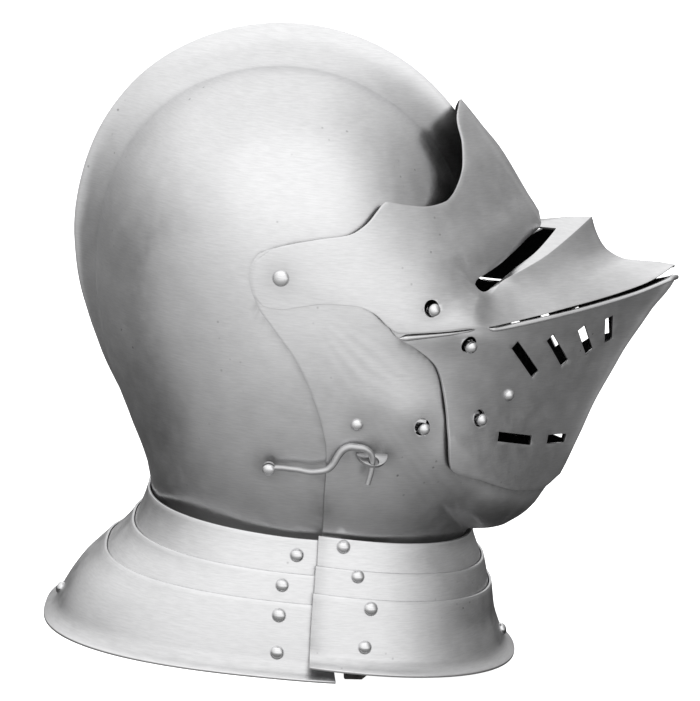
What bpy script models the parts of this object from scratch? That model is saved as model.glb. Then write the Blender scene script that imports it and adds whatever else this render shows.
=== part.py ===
# Close helmet of plate steel: skull with a comb, visor, beaked ventail, bevor and a laminated collar.
# Metres, +Z up. The wearer looks along -Y, and the wearer's right side is -X.
# The origin lies on the floor under the middle of the helmet, where its rim rests.
import math

import bpy
import bmesh
from mathutils import Matrix, Vector

# Plates
WALL = 0.0012
GAP = 0.0006
LAYER = WALL + GAP

# Driving sizes
PIVOT_HEIGHT = 0.2045
HALF_WIDTH = 0.1026
COMB_REACH = 0.1145
COMB_HEIGHT = 0.0195
COMB_FOOT = 0.0200
FACE_REACH = 0.2000
BEAK_SHARE = 1.0185
BACK_SHARE = 0.956
NECK_DROP = 0.720 * FACE_REACH
NECK_MIDDLE = 0.100 * FACE_REACH
# The proportions at which the tables of outlines were drawn
COMB_SHARE = 0.5725
HALF_WIDTH_SHARE = 0.513

# How many layers more the plates stand apart where their walls slope steeply
SPARE = 0.1
VENTAIL_CLEAR = 0.75
VENTAIL_TUCK = 1.1
VISOR_CLEAR = 0.45

# Collar: how far its top laps over the neck's lower edge, and how far it clears the neck
COLLAR_TOP_BACK = NECK_DROP - 0.0115
COLLAR_TOP_SIDE = NECK_DROP - 0.0070
COLLAR_TOP_FRONT = NECK_DROP - 0.0036
COLLAR_TOP_FRONT_SIDE = NECK_DROP - 0.0105
CLEAR_OF_SIDES = 0.00202
CLEAR_OF_NAPE = 0.00043
CLEAR_OF_CHIN = 0.00043
COLLAR_BACK_POWER = 2.6
COLLAR_FRONT_POWER = 2.12
COLLAR_FLARE = 0.0405
COLLAR_SPLIT = 0.155 * FACE_REACH
COLLAR_LAP = 0.0120
FRONT_RIM_RISE = 0.0080
FLANGE_HEIGHT = 0.0075
FLANGE_OUT = 0.0045

# Openings and fastenings
SLOT_WIDTH = 0.0050
PEG_HOLE = 0.0040
PEG_RADIUS = 0.0033
PEG_STANDS = 0.0038
RIVET_RADIUS = 0.0035
RIVET_HEIGHT = 0.0024
PIVOT_RIVET_RADIUS = 0.0041
SMALL_RIVET_RADIUS = 0.0031
RIVET_SEAT = 0.0003
LEAF_WIDTH = 0.0070
LEAF_THICK = 0.0009
LEAF_DEEP = 0.0016
WIRE_RADIUS = 0.00125
HOOK_CLEAR = 0.00637
HOOK_STEP = 0.0012
HOOK_LEAN = math.radians(17)
HOOK_EYE_RADIUS = 0.0034
HOOK_EYE_HOLE = 0.0014
HOOK_EYE_THICK = 0.0018
HOOK_HEAD_RADIUS = 0.0033
HOOK_HEAD_HEIGHT = 0.0022
HOOK_NECK_RADIUS = 0.0010
LUG_RADIUS = 0.0082
LUG_HOLE = 0.0027
LUG_THICK = 0.0016
STRAP_WIDTH = 0.0220
STRAP_THICK = 0.0020
STRAP_CLEAR_OF_FLOOR = 0.0010

PIVOT_Y = (BEAK_SHARE * FACE_REACH - BACK_SHARE * COMB_REACH) / 2

# Form of the face plates around the pivot axis. The angle is 0 straight ahead and 90 straight up.
# The reach is comb * COMB_REACH + face * FACE_REACH, and power and edge shape the cross-section.
FACE_FORM = (
    # angle, comb, face, power, edge
    (-111.7, 0.0, 0.7530, 2.2, 0.50),
    (-108.7, 0.0, 0.7800, 2.2, 0.50),
    (-104.0, 0.0, 0.8240, 2.2, 0.50),
    (-97.7, 0.0, 0.8850, 2.2, 0.50),
    (-90.0, 0.0, 0.9550, 2.2, 0.50),
    (-81.5, 0.0, 0.9800, 2.2, 0.50),
    (-70.0, 0.0, 0.9850, 2.2, 0.50),
    (-63.3, 0.0, 0.9580, 2.2, 0.50),
    (-57.3, 0.0, 0.9130, 2.2, 0.50),
    (-54.5, 0.0, 0.8960, 2.2, 0.50),
    (-52.7, 0.0, 0.8870, 2.2, 0.50),
    (-51.9, 0.0, 0.8820, 2.2, 0.50),
    (-51.0, 0.0, 0.8900, 2.2, 0.50),
    (-50.0, 0.0, 0.9010, 2.2, 0.51),
    (-48.5, 0.0, 0.9160, 2.2, 0.52),
    (-46.5, 0.0, 0.9300, 2.2, 0.55),
    (-42.2, 0.0, 0.9400, 2.2, 0.65),
    (-38.3, 0.0, 0.9290, 2.2, 0.80),
    (-35.1, 0.0, 0.9205, 2.3, 0.95),
    (-28.7, 0.0, 0.8980, 2.4, 1.20),
    (-21.6, 0.0, 0.8845, 2.4, 1.25),
    (-12.0, 0.0, 0.9025, 2.4, 1.25),
    (-9.0, 0.15, 0.7800, 2.4, 1.20),
    (-6.0, 0.45, 0.5450, 2.35, 1.10),
    (-3.0, 0.80, 0.2770, 2.3, 1.00),
    (0.0, 1.17, 0.0, 2.25, 0.92),
    (2.0, 1.13, 0.0, 2.2, 0.87),
    (5.0, 1.107, 0.0, 2.2, 0.85),
    (10.5, 1.100, 0.0, 2.2, 0.85),
    (17.6, 1.058, 0.0, 2.2, 0.85),
    (23.6, 1.036, 0.0, 2.2, 0.85),
    (29.8, 1.014, 0.0, 2.2, 0.85),
    (37.4, 0.987, 0.0, 2.2, 0.85),
    (45.0, 0.979, 0.0, 2.2, 0.85),
    (60.0, 0.976, 0.0, 2.2, 0.85),
    (95.0, 0.976, 0.0, 2.2, 0.60),
    (120.0, 0.976, 0.0, 2.2, 0.50),
    (230.0, 1.030, 0.0, 2.2, 0.50),
    (248.3, 1.315, 0.0, 2.2, 0.50),
)

# The ventail's keel, which stands further out than the form behind it
KEEL_FORM = (
    # angle, share of FACE_REACH
    (-40.0, 0.9600),
    (-35.1, 0.9455),
    (-28.7, 0.9230),
    (-21.6, 0.9095),
    (-13.7, 0.9215),
    (-5.5, 0.9645),
    (0.8, 1.0185),
    (10.0, 1.0300),
)

KEEL_TOP = 0.5
KEEL_BOTTOM = -35.1

# The skull's outline in the middle plane: shares of COMB_REACH and of COMB_HEIGHT
SKULL_FORM = (
    # angle, reach, comb
    (20.0, 0.962, 0.80),
    (45.0, 0.974, 0.90),
    (70.0, 0.987, 1.00),
    (100.0, 0.995, 1.00),
    (130.0, 1.000, 0.95),
    (150.0, 0.986, 0.88),
    (168.5, 0.964, 0.78),
    (179.5, 0.956, 0.70),
    (190.5, 0.948, 0.58),
    (202.0, 0.948, 0.42),
    (211.0, 0.958, 0.28),
    (219.2, 0.981, 0.16),
    (225.2, 1.002, 0.08),
    (230.6, 1.031, 0.02),
    (235.5, 1.075, 0.00),
    (240.1, 1.128, 0.00),
    (244.2, 1.198, 0.00),
    (248.3, 1.322, 0.00),
)
BOWL_POWER = 2.2
BOWL_RINGS = (0.22, 0.44, 0.64, 0.81, 0.93, 1.0)
COMB_RINGS = (0.42, 1.0)
NECK_RINGS = (0.22, 0.44, 0.64, 0.81, 0.91, 0.955, 0.985, 1.0)
SKULL_ANGLES = (-70, -55, -38, -20, 0, 13, 24, 32, 40, 49, 58, 67, 76, 85, 94, 103, 112, 121, 130, 139,
                148, 157, 166, 175, 184, 193, 202, 210.5, 218, 225, 231, 236.5, 241, 245, 248.3, 250,
                253.5, 259, 266, 276)
SKULL_BROW_ANGLE = 24
SKULL_NAPE_ANGLE = 248.3
# Where the skull ends in front, under the face plates: shares of FACE_REACH
SKULL_EDGE = (
    # angle, reach
    (-70.0, 0.770),
    (-58.0, 0.300),
    (-44.0, 0.235),
    (-30.0, 0.205),
    (-15.0, 0.195),
    (0.0, 0.210),
    (13.0, 0.270),
    (24.0, 0.560),
)

# Side-view outlines in hundredths of FACE_REACH: (forward, up) from the pivot axis
BEVOR_TOP = ((0, 7.7), (15, 2.5), (30, -5), (40, -12), (46, -20.5), (49.5, -30), (52, -39), (57, -45),
             (66, -48.5), (78.5, -49.2))
BEVOR_REAR = ((0, 7.7), (-5.6, 5.2), (-7.7, -0.8), (-5.2, -7.8), (-1.9, -11.9), (1.6, -15.9), (5.3, -20.4),
              (8.1, -24.8), (10.7, -30), (12.6, -34.3), (14.3, -39.5), (15.1, -42.5), (15.8, -50),
              (16, -58), (16.4, -65.3), (16.5, -71.0))
BEVOR_FRONT = ((0, -32.1), (0.65, -46.5), (0.769, -49.0), (0.846, -50.8), (0.923, -51.9), (1, -52.7))

VENTAIL_COLUMNS = (
    # top forward, top up, bottom forward, bottom up
    (-5.6, 5.6, -5.6, -5.6),
    (5.5, 7.4, 4.5, -6.4),
    (15, 4.5, 15, -4.4),
    (24, 0.5, 23, -5.2),
    (32, -3.5, 29.8, -13.0),
    (39, -6.2, 35.5, -16.4),
    (45.5, -8.8, 41.0, -21.4),
    (51.5, -10.2, 43.8, -29.2),
    (54.5, -11.0, 45.6, -38.2),
    (61, -10.0, 47.2, -47.4),
    (70, -8.3, 55.5, -51.2),
    (80, -6.2, 64.2, -55.0),
    (91, -3.3, 72.5, -57.2),
)

VENTAIL_LOBE = 7.9

VISOR_TOP = ((-2.9, 6.9), (1.4, 8.4), (8.6, 10.2), (15.9, 11.7), (20, 14.5), (22.7, 18.1), (24.0, 19.5),
             (29.3, 18.8), (33.9, 18.4), (39.2, 19.4), (42.0, 22.7), (43.2, 27.4), (42.8, 32.0), (41.0, 38.2),
             (41.5, 41.4))
VISOR_BOTTOM = ((-3.8, -7.4), (0, -8.0), (5, -6.9), (12.3, -5.5), (19, -5.6), (23.6, -7.1), (27.7, -10.5),
                (30.3, -12), (40.5, -11.4), (48, -10.6))
VISOR_LOBE = ((-2.9, 6.9), (-6.9, 2.7), (-7.7, -0.3), (-6.6, -4.7), (-3.8, -7.4))
# Lines of the visor in front of the sight's rear end: hundredths of FACE_REACH (forward, up, out)
SIGHT_TOP = ((48.2, 0.4, 32.4), (51.5, 1.9, 28.6), (55.2, 4.0, 23.8), (58.9, 6.8, 17.9), (62.3, 9.4, 10.2),
             (65.0, 11.0, 3.2), (65.3, 12.0, 0))
SIGHT_LOW = ((48.6, -1.2, 32.4), (51.3, -2.4, 29.6), (54.4, -0.7, 26.4), (58.8, 2.6, 21.4), (63.7, 5.9, 15.4),
             (69.1, 11.2, 5.5), (71.0, 13.5, 0))
CREST = ((48.9, -3.2, 33.0), (52.0, -3.6, 30.4), (55.8, 0.0, 27.0), (60.0, 2.1, 23.0), (66.0, 5.2, 16.6),
         (73.0, 10.2, 7.9), (78.3, 14.3, 0))
BEAK_EDGE = ((48.0, -10.6, 40.6), (53.4, -10.3, 36.2), (63.3, -9.0, 28.3), (74.8, -6.6, 19.6),
             (86.7, -3.7, 10.3), (95.0, -0.7, 4.6), (101.1, 3.3, 0))
# The beak's top line in the middle plane: shares of the way forward and of the way down
BEAK_SCOOP = ((0, 0), (0.075, 0.39), (0.22, 0.79), (0.47, 0.98), (0.78, 0.97), (1, 1))
SCOOP_BY_LINE = (0.0, 0.0, 0.08, 0.18, 0.35, 0.60, 1.0)

# Collar profile: shares of the collar's height, and flare in hundredths of COLLAR_FLARE
COLLAR_PROFILE = (
    # down, back flare, side flare, front flare
    (-0.15, -2.5, -2.5, -2.0),
    (0.0, 0.0, 0.0, 0.0),
    (0.25, 12.3, 10.4, 14.8),
    (0.46, 40.7, 19.8, 23.5),
    (0.66, 71.6, 27.7, 30.1),
    (0.89, 93.8, 36.0, 44.9),
    (1.0, 100.0, 39.5, 50.6),
)
# Each collar plate: its layer outside the neck, and its top and bottom as shares of the collar's height
REAR_LAMES = (
    # name, layer, top, bottom
    ("rear_lame_1", 0, 0.0, 0.40),
    ("rear_lame_2", 1, 0.25, 0.60),
    ("rear_lame_3", 2, 0.455, 1.0),
)
FRONT_LAMES = (
    ("front_lame_1", 1, 0.0, 0.275),
    ("front_lame_2", 2, 0.225, 0.495),
    ("front_lame_3", 3, 0.43, 1.0),
)

# Pegs, rivets and slots, in hundredths of FACE_REACH on the side view: (forward, up)
VISOR_PEG_AT = (37.9, -5.6)
VENTAIL_PEG_AT = (48.3, -15.2)
BREATH_PEG_AT = (53.2, -34.9)
BREATH_LEAF_AT = (60.4, -29.8)
BEVOR_PEG_AT = (38.6, -36.3)
BEVOR_LEAF_AT = (22.2, -36.2)
HOOK_AT = (1.4, -49.1)
LUG_AT = (26.4, -45.3)
BREATH_SLOTS = (
    # upper end forward, up, lower end forward, up
    (60.4, -15.9, 66.9, -24.8),
    (69.6, -14.6, 74.6, -22.5),
    (77.6, -12.6, 80.9, -19.8),
    (84.9, -10.1, 85.7, -17.0),
    (58.8, -40.3, 68.0, -43.0),
    (72.4, -43.6, 77.4, -44.0),
)
HOOK_ROUTE = ((2.75, -49.05), (5.4, -48.9), (8.2, -48.9), (11.7, -49.2), (13.9, -48.9), (15.9, -48.2),
              (17.3, -46.6), (18.3, -44.4), (19.6, -42.6), (21.5, -41.8), (23.9, -41.9), (26.1, -43.0),
              (27.0, -45.0), (27.1, -47.4), (26.9, -49.6), (26.6, -51.0))
RIM_RIVET_UP = 0.0096
REAR_LOW_RIVET_UP = 0.01215
FRONT_LOW_RIVET_UP = 0.0135
SIDE_DROP = PIVOT_HEIGHT - COLLAR_TOP_SIDE
REAR_RIVETS = (
    # share of the collar's height, forward from the pivot axis in hundredths of FACE_REACH
    (0.12, 10.5), (0.34, 7.55), (0.55, 7.45), (1 - REAR_LOW_RIVET_UP / SIDE_DROP, 7.85))
FRONT_RIVETS = (
    (0.06, 22.0), (0.27, 26.3), (0.50, 30.3), (1 - FRONT_LOW_RIVET_UP / SIDE_DROP, 29.7))


# Tools for numbers and outlines
def ease(table, at, column):
    """Smooth value of a table's column, without overshoot, at a value of its first column."""
    xs = [row[0] for row in table]
    ys = [row[column] for row in table]
    if at <= xs[0]:
        return ys[0]
    if at >= xs[-1]:
        return ys[-1]
    slopes = [(ys[i + 1] - ys[i]) / (xs[i + 1] - xs[i]) for i in range(len(xs) - 1)]
    tangents = [slopes[0]]
    for before, after in zip(slopes, slopes[1:]):
        tangents.append(0.0 if before * after <= 0 else 2 * before * after / (before + after))
    tangents.append(slopes[-1])
    i = max(k for k in range(len(xs) - 1) if xs[k] <= at)
    step = xs[i + 1] - xs[i]
    t = (at - xs[i]) / step
    return ((1 + 2 * t) * (1 - t) ** 2 * ys[i] + t * (1 - t) ** 2 * step * tangents[i]
            + t * t * (3 - 2 * t) * ys[i + 1] - t * t * (1 - t) * step * tangents[i + 1])


def along(points, t):
    """Point on a smooth curve through the points, at a share of the way from first to last."""
    lengths = [0.0]
    for a, b in zip(points, points[1:]):
        lengths.append(lengths[-1] + math.dist(a, b))
    rows = [(length / lengths[-1],) + tuple(point) for length, point in zip(lengths, points)]
    return tuple(ease(rows, t, k) for k in range(1, len(rows[0])))


def soft_step(low, high, value):
    t = min(max((value - low) / (high - low), 0.0), 1.0)
    return t * t * (3 - 2 * t)


def mix(a, b, t):
    return tuple(p + (q - p) * t for p, q in zip(a, b))


def spot(forward, up, out):
    """Point of the model from its place beside the pivot axis, on the wearer's right."""
    return Vector((-out, PIVOT_Y - forward, PIVOT_HEIGHT + up))


def face_share(point):
    """Real place of a point given in hundredths of FACE_REACH: forward, up and sometimes out."""
    out = tuple(value * HALF_WIDTH / HALF_WIDTH_SHARE / 100 for value in point[2:])
    return tuple(value * FACE_REACH / 100 for value in point[:2]) + out


def form_reach(angle):
    return ease(FACE_FORM, angle, 1) * COMB_REACH + ease(FACE_FORM, angle, 2) * FACE_REACH


def form_scale(angle):
    """Metres for a share of one in a direction, so that an outline keeps its place on the form."""
    return form_reach(angle) / (ease(FACE_FORM, angle, 1) * COMB_SHARE + ease(FACE_FORM, angle, 2))


def side_angle(forward, up):
    angle = math.degrees(math.atan2(up, forward))
    return angle + 360 if angle < -112 else angle


def form_share(point):
    """Real place of a side-view point that keeps its share of the form's reach in its direction."""
    scale = form_scale(side_angle(point[0], point[1])) / 100
    return point[0] * scale, point[1] * scale


# Cross-sections: half-width at a place of the side view
def keel_layers(angle):
    """How far each layer moves the outline out: more where the section is a sharp keel."""
    return 1.0 + 0.4 * soft_step(-50, -35, angle) * (1 - soft_step(10, 25, angle))


def face_out(forward, up, layer):
    angle = side_angle(forward, up)
    reach = form_reach(angle) + layer * LAYER * keel_layers(angle)
    power = ease(FACE_FORM, angle, 3)
    edge = ease(FACE_FORM, angle, 4)
    share = min(math.hypot(forward, up) / reach, 1.0)
    return (HALF_WIDTH + layer * LAYER) * max(1 - share ** power, 0.0) ** edge


def bevor_out(forward, up):
    return face_out(forward, up, 1)


def visor_out(forward, up):
    angle = math.degrees(math.atan2(up, forward))
    clear = soft_step(0.25, 0.40, math.hypot(forward, up) / FACE_REACH) * (1 - soft_step(5, 20, angle))
    return face_out(forward, up, 3 + 2 * SPARE + VISOR_CLEAR * clear)


def prow_reach(angle):
    return ease(KEEL_FORM, angle, 1) * FACE_REACH


def ventail_out(forward, up):
    angle = math.degrees(math.atan2(up, forward))
    radius = math.hypot(forward, up)
    beyond = soft_step(0.30, 0.40, radius / FACE_REACH)
    layer = 2 + SPARE + beyond * VENTAIL_CLEAR * (1 - soft_step(-41, -24, angle))
    layer -= beyond * VENTAIL_TUCK * soft_step(-16, -11.0, angle)
    near = face_out(forward, up, layer)
    if angle < -40 or angle > 10:
        return near
    share = min(radius / prow_reach(angle), 1.0)
    power = ease(FACE_FORM, min(angle, -12), 3)
    edge = ease(FACE_FORM, min(angle, -12), 4)
    far = (HALF_WIDTH + layer * LAYER) * max(1 - share ** power, 0.0) ** edge
    blend = soft_step(0.40 * FACE_REACH, 0.58 * FACE_REACH, radius)
    return near + (far - near) * blend


def bowl_reach(angle):
    nape = soft_step(215, SKULL_NAPE_ANGLE, angle)
    ridge = ease(SKULL_FORM, angle, 1) * (COMB_REACH + (COMB_SHARE * FACE_REACH - COMB_REACH) * nape)
    height = ease(SKULL_FORM, angle, 2) * COMB_HEIGHT
    foot = COMB_FOOT * math.sqrt(height / COMB_HEIGHT)
    return ridge, ridge - height, foot


def skull_out(radius, angle):
    """Half-width of the skull: bowl, then the comb's hollow flank up to its ridge."""
    ridge, crease, foot = bowl_reach(angle)
    bowl = crease / (1 - (foot / HALF_WIDTH) ** 2) ** (1 / BOWL_POWER)
    if radius > crease and foot > 0:
        left = (ridge - radius) / (ridge - crease)
        return foot * (0.30 * left + 0.70 * left * left)
    return HALF_WIDTH * math.sqrt(max(1 - (radius / bowl) ** BOWL_POWER, 0.0))


def median_point(angle, layer):
    reach = form_reach(angle) + layer * LAYER * keel_layers(angle)
    return reach * math.cos(math.radians(angle)), reach * math.sin(math.radians(angle))


def nape_point(angle, layer):
    reach = bowl_reach(angle)[0] + layer * LAYER
    return reach * math.cos(math.radians(angle)), reach * math.sin(math.radians(angle))


def forward_at(outline, high_angle, low_angle, up):
    """How far forward an outline of the middle plane lies at a height of the neck."""
    for _ in range(40):
        angle = (high_angle + low_angle) / 2
        if outline(angle, 1)[1] > up:
            high_angle = angle
        else:
            low_angle = angle
    return outline(angle, 1)[0]


# Sizes of what goes round the neck or along the cheek, taken from the plates behind
COLLAR_HALF_WIDTH = bevor_out(NECK_MIDDLE, -COLLAR_TOP_SIDE) + CLEAR_OF_SIDES
COLLAR_BACK_REACH = NECK_MIDDLE - forward_at(nape_point, 225, SKULL_NAPE_ANGLE, -COLLAR_TOP_BACK) + CLEAR_OF_NAPE
COLLAR_FRONT_REACH = forward_at(median_point, -48, -60, -COLLAR_TOP_FRONT) - NECK_MIDDLE + CLEAR_OF_CHIN
HOOK_OUT = bevor_out(*face_share(LUG_AT)) + HOOK_CLEAR


# Tools for meshes
def material(name, colour, roughness, metallic):
    made = bpy.data.materials.new(name)
    made.use_nodes = True
    shader = made.node_tree.nodes["Principled BSDF"]
    shader.inputs["Base Color"].default_value = (*colour, 1.0)
    shader.inputs["Roughness"].default_value = roughness
    shader.inputs["Metallic"].default_value = metallic
    return made


def add_object(name, data, finish):
    made = bpy.data.objects.new(name, data)
    helmet.objects.link(made)
    if finish:
        data.materials.append(finish)
    return made


def grid_mesh(name, rows, holes=(), tip=None):
    """Mesh of a grid of points, with the cells in holes left out and a fan to a tip if one is given."""
    mesh = bpy.data.meshes.new(name)
    work = bmesh.new()
    made = [[work.verts.new(point) for point in row] for row in rows]
    for i in range(len(rows) - 1):
        for j in range(len(rows[0]) - 1):
            if (i, j) not in holes:
                work.faces.new((made[i][j], made[i][j + 1], made[i + 1][j + 1], made[i + 1][j]))
    if tip is not None:
        centre = work.verts.new(tip)
        for i in range(len(rows) - 1):
            work.faces.new((centre, made[i][0], made[i + 1][0]))
    bmesh.ops.remove_doubles(work, verts=work.verts, dist=0.00005)
    for face in work.faces:
        face.smooth = True
    face_outwards(work)
    work.to_mesh(mesh)
    work.free()
    return mesh


def face_outwards(work):
    """Turn an open half shell so that its faces look away from the middle of the head."""
    bmesh.ops.recalc_face_normals(work, faces=work.faces)
    middle = Vector((0, PIVOT_Y, PIVOT_HEIGHT))
    turn = sum(face.normal.dot(face.calc_center_median() - middle) * face.calc_area() for face in work.faces)
    if turn < 0:
        bmesh.ops.reverse_faces(work, faces=work.faces)


def plate(name, mesh, finish):
    """A steel plate: the half surface, its mirror image and the wall behind it."""
    made = add_object(name, mesh, finish)
    mirror = made.modifiers.new("Other half", "MIRROR")
    mirror.use_axis = (True, False, False)
    mirror.merge_threshold = 0.00005
    wall = made.modifiers.new("Wall", "SOLIDIFY")
    wall.thickness = WALL
    wall.offset = -1.0
    wall.use_even_offset = True
    wall.thickness_clamp = 0.0
    return made


def add_cutter(name, mesh):
    made = bpy.data.objects.new(name, mesh)
    cutters.objects.link(made)
    made.hide_render = True
    made.display_type = "WIRE"
    return made


def cut(target, cutter):
    made = target.modifiers.new(cutter.name, "BOOLEAN")
    made.operation = "DIFFERENCE"
    made.object = cutter


def frame_at(place, outward, along_plate=None):
    """Turn that takes local +Z to the outward direction, and puts it at the place."""
    turn = outward.to_track_quat("Z", "Y").to_matrix()
    if along_plate is not None:
        x = (along_plate - outward * along_plate.dot(outward)).normalized()
        turn = Matrix((x, outward.cross(x), outward)).transposed()
    return Matrix.Translation(place) @ turn.to_4x4()


def surface_frame(law, at, along_at=None):
    """Place and direction on a plate's outer face at a side-view point."""
    forward, up = face_share(at)
    step = 0.001
    here = spot(forward, up, law(forward, up))
    ahead = spot(forward + step, up, law(forward + step, up)) - here
    above = spot(forward, up + step, law(forward, up + step)) - here
    outward = ahead.cross(above).normalized()
    if outward.x > 0:
        outward.negate()
    direction = None
    if along_at is not None:
        f2, u2 = face_share(along_at)
        direction = (spot(f2, u2, law(f2, u2)) - here).normalized()
    return frame_at(here, outward, direction)


def turned_mesh(name, profile, steps):
    """Open profile of (radius, height) for a Screw, from the top down its outer side."""
    mesh = bpy.data.meshes.new(name)
    points = [(radius, 0.0, height) for radius, height in profile]
    mesh.from_pydata(points, [(k, k + 1) for k in range(len(points) - 1)], [])
    mesh["steps"] = steps
    return mesh


def turned(name, mesh, place, finish):
    made = add_object(name, mesh, None)
    if finish and not mesh.materials:
        mesh.materials.append(finish)
    made.matrix_world = place
    screw = made.modifiers.new("Turned", "SCREW")
    screw.angle = math.tau
    screw.steps = mesh["steps"]
    screw.render_steps = mesh["steps"]
    screw.use_merge_vertices = True
    screw.merge_threshold = 0.00002
    return made


def rivet_profile(radius, height):
    return ((0, height), (0.74 * radius, 0.66 * height), (radius, 0), (0, 0))


def peg_profile(radius, stands, below):
    return ((0, stands), (0.6 * radius, stands * 0.92), (radius, stands * 0.62), (radius, -below), (0, -below))


# Pieces
def make_skull():
    rows = []
    for angle in SKULL_ANGLES:
        if SKULL_BROW_ANGLE <= angle <= SKULL_NAPE_ANGLE:
            ridge, crease, _ = bowl_reach(angle)
            radii = [share * crease for share in BOWL_RINGS]
            radii += [crease + share * (ridge - crease) for share in COMB_RINGS]
        else:
            if angle > SKULL_NAPE_ANGLE:
                end = -NECK_DROP / math.sin(math.radians(angle))
            else:
                end = ease(SKULL_EDGE, angle, 1) * form_scale(angle)
            radii = [share * end for share in NECK_RINGS]
        row = []
        for radius in radii:
            forward = radius * math.cos(math.radians(angle))
            up = radius * math.sin(math.radians(angle))
            if SKULL_BROW_ANGLE <= angle <= SKULL_NAPE_ANGLE:
                out = skull_out(radius, angle)
                if radius == radii[-1]:
                    out = 0.0
            elif -20 < angle < SKULL_BROW_ANGLE:
                blend = soft_step(-20, SKULL_BROW_ANGLE, angle)
                out = face_out(forward, up, 0) * (1 - blend) + skull_out(radius, SKULL_BROW_ANGLE) * blend
            else:
                out = face_out(forward, up, 0)
            row.append(spot(forward, up, out))
        rows.append(row)
    rows.append(list(rows[0]))
    mesh = grid_mesh("skull", rows, tip=spot(0, 0, HALF_WIDTH))
    return plate("skull", mesh, steel)


def coons_rows(top, bottom, rear, front, columns, rows):
    """Side-view points filling four boundary curves, each a function of a share from 0 to 1."""
    grid = []
    for i in range(columns + 1):
        u = i / columns
        line = []
        for j in range(rows + 1):
            v = j / rows
            ruled = mix(mix(top(u), bottom(u), v), (0, 0), 0)
            sides = mix(rear(v), front(v), u)
            corners = mix(mix(top(0), top(1), u), mix(bottom(0), bottom(1), u), v)
            line.append(tuple(a + b - c for a, b, c in zip(ruled, sides, corners)))
        grid.append(line)
    return grid


def make_bevor():
    columns = 14
    rows = 13
    top_points = [form_share(p) for p in BEVOR_TOP]
    rear_points = [form_share(p) for p in BEVOR_REAR]
    top_points[-1] = median_point(BEVOR_FRONT[0][1], 1)
    rear_end = (rear_points[-1][0], -NECK_DROP)
    rear_points[-1] = rear_end
    front_end = median_point(BEVOR_FRONT[-1][1], 1)

    def front(v):
        return median_point(ease(BEVOR_FRONT, v, 1), 1)

    def bottom(u):
        return mix(rear_end, front_end, math.sin(u * math.pi / 2) * 0.35 + u * 0.65)

    grid = coons_rows(lambda u: along(top_points, u), bottom, lambda v: along(rear_points, v), front,
                      columns, rows)
    points = []
    for i, line in enumerate(grid):
        points.append([spot(f, z, 0.0 if i == columns else bevor_out(f, z)) for f, z in line])
    made = plate("bevor", grid_mesh("bevor", points), steel)
    return made


def make_ventail():
    rows = 8
    points = []
    for column in VENTAIL_COLUMNS:
        top = face_share(column[:2])
        bottom = face_share(column[2:])
        line = [mix(top, bottom, j / rows) for j in range(rows + 1)]
        points.append([spot(f, z, ventail_out(f, z)) for f, z in line])
    lobe = points[0]
    for j, place in enumerate(lobe):
        angle = math.pi * (0.75 + 0.5 * j / rows)
        forward, up = face_share((VENTAIL_LOBE * math.cos(angle), VENTAIL_LOBE * math.sin(angle)))
        lobe[j] = spot(forward, up, ventail_out(forward, up))
    keel = []
    for j in range(rows + 1):
        angle = KEEL_TOP + (KEEL_BOTTOM - KEEL_TOP) * j / rows
        reach = prow_reach(angle)
        keel.append(spot(reach * math.cos(math.radians(angle)), reach * math.sin(math.radians(angle)), 0.0))
    points.append(keel)
    return plate("ventail", grid_mesh("ventail", points), steel)


def visor_point(forward, up):
    return spot(forward, up, visor_out(forward, up))


def make_visor():
    brow_rows = 4
    face_rows = len(BEAK_SCOOP) - 1
    arm_columns = 11
    top_points = [form_share(p) for p in VISOR_TOP]
    bottom_points = [form_share(p) for p in VISOR_BOTTOM]
    rear_points = [form_share(p) for p in VISOR_LOBE]
    sight_top = [form_share(p) + face_share(p)[2:] for p in SIGHT_TOP]
    sight_low = [face_share(p) for p in SIGHT_LOW]
    crest = [face_share(p) for p in CREST]
    beak = [face_share(p) for p in BEAK_EDGE]
    keel_angles = (44.9, 10.5)
    shares = [0.42 * k / brow_rows for k in range(brow_rows + 1)]
    shares += [0.50, 0.58]
    shares += [0.58 + 0.42 * k / face_rows for k in range(1, face_rows + 1)]
    split_at = 0.66
    columns = []
    for i in range(arm_columns):
        u = i / arm_columns
        top = along(top_points, u * split_at)
        low = along(bottom_points, u)
        if i == 0:
            line = [along(rear_points, share) for share in shares]
        else:
            middle = mix((-0.01, 0), sight_top[0][:2], u)
            line = []
            for share in shares:
                straight = mix(top, low, share)
                pull = 0.5 * 4 * share * (1 - share) * u * u
                on_axis = mix(top, middle, share / 0.45) if share < 0.45 else mix(middle, low, (share - 0.45) / 0.55)
                line.append(mix(straight, on_axis, pull))
        columns.append([visor_point(f, z) for f, z in line])
    for k in range(len(sight_top)):
        t = k / (len(sight_top) - 1)
        top = along(top_points, split_at + (1 - split_at) * t)
        column = []
        for r in range(brow_rows):
            v = r / brow_rows
            if k == len(sight_top) - 1:
                angle = keel_angles[0] + (keel_angles[1] - keel_angles[0]) * v
                f, z = median_point(angle, 3)
                column.append(spot(f, z, 0.0))
            else:
                f, z = mix(top, sight_top[k][:2], v)
                column.append(visor_point(f, z))
        f, z, x = sight_top[k]
        if k < len(sight_top) - 1:
            x = visor_out(f, z)
        column.append(spot(f, z, x))
        column.append(spot(*sight_low[k]))
        column.append(spot(*crest[k]))
        for forward_share, down_share in BEAK_SCOOP[1:]:
            scoop = SCOOP_BY_LINE[k]
            f = crest[k][0] + (beak[k][0] - crest[k][0]) * forward_share
            down = forward_share + scoop * (down_share - forward_share)
            z = crest[k][1] + (beak[k][1] - crest[k][1]) * down
            x = crest[k][2] + (beak[k][2] - crest[k][2]) * forward_share
            column.append(spot(f, z, x))
        columns.append(column)
    holes = {(arm_columns + k, brow_rows) for k in range(len(sight_top) - 2)}
    return plate("visor", grid_mesh("visor", columns, holes), steel)


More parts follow.
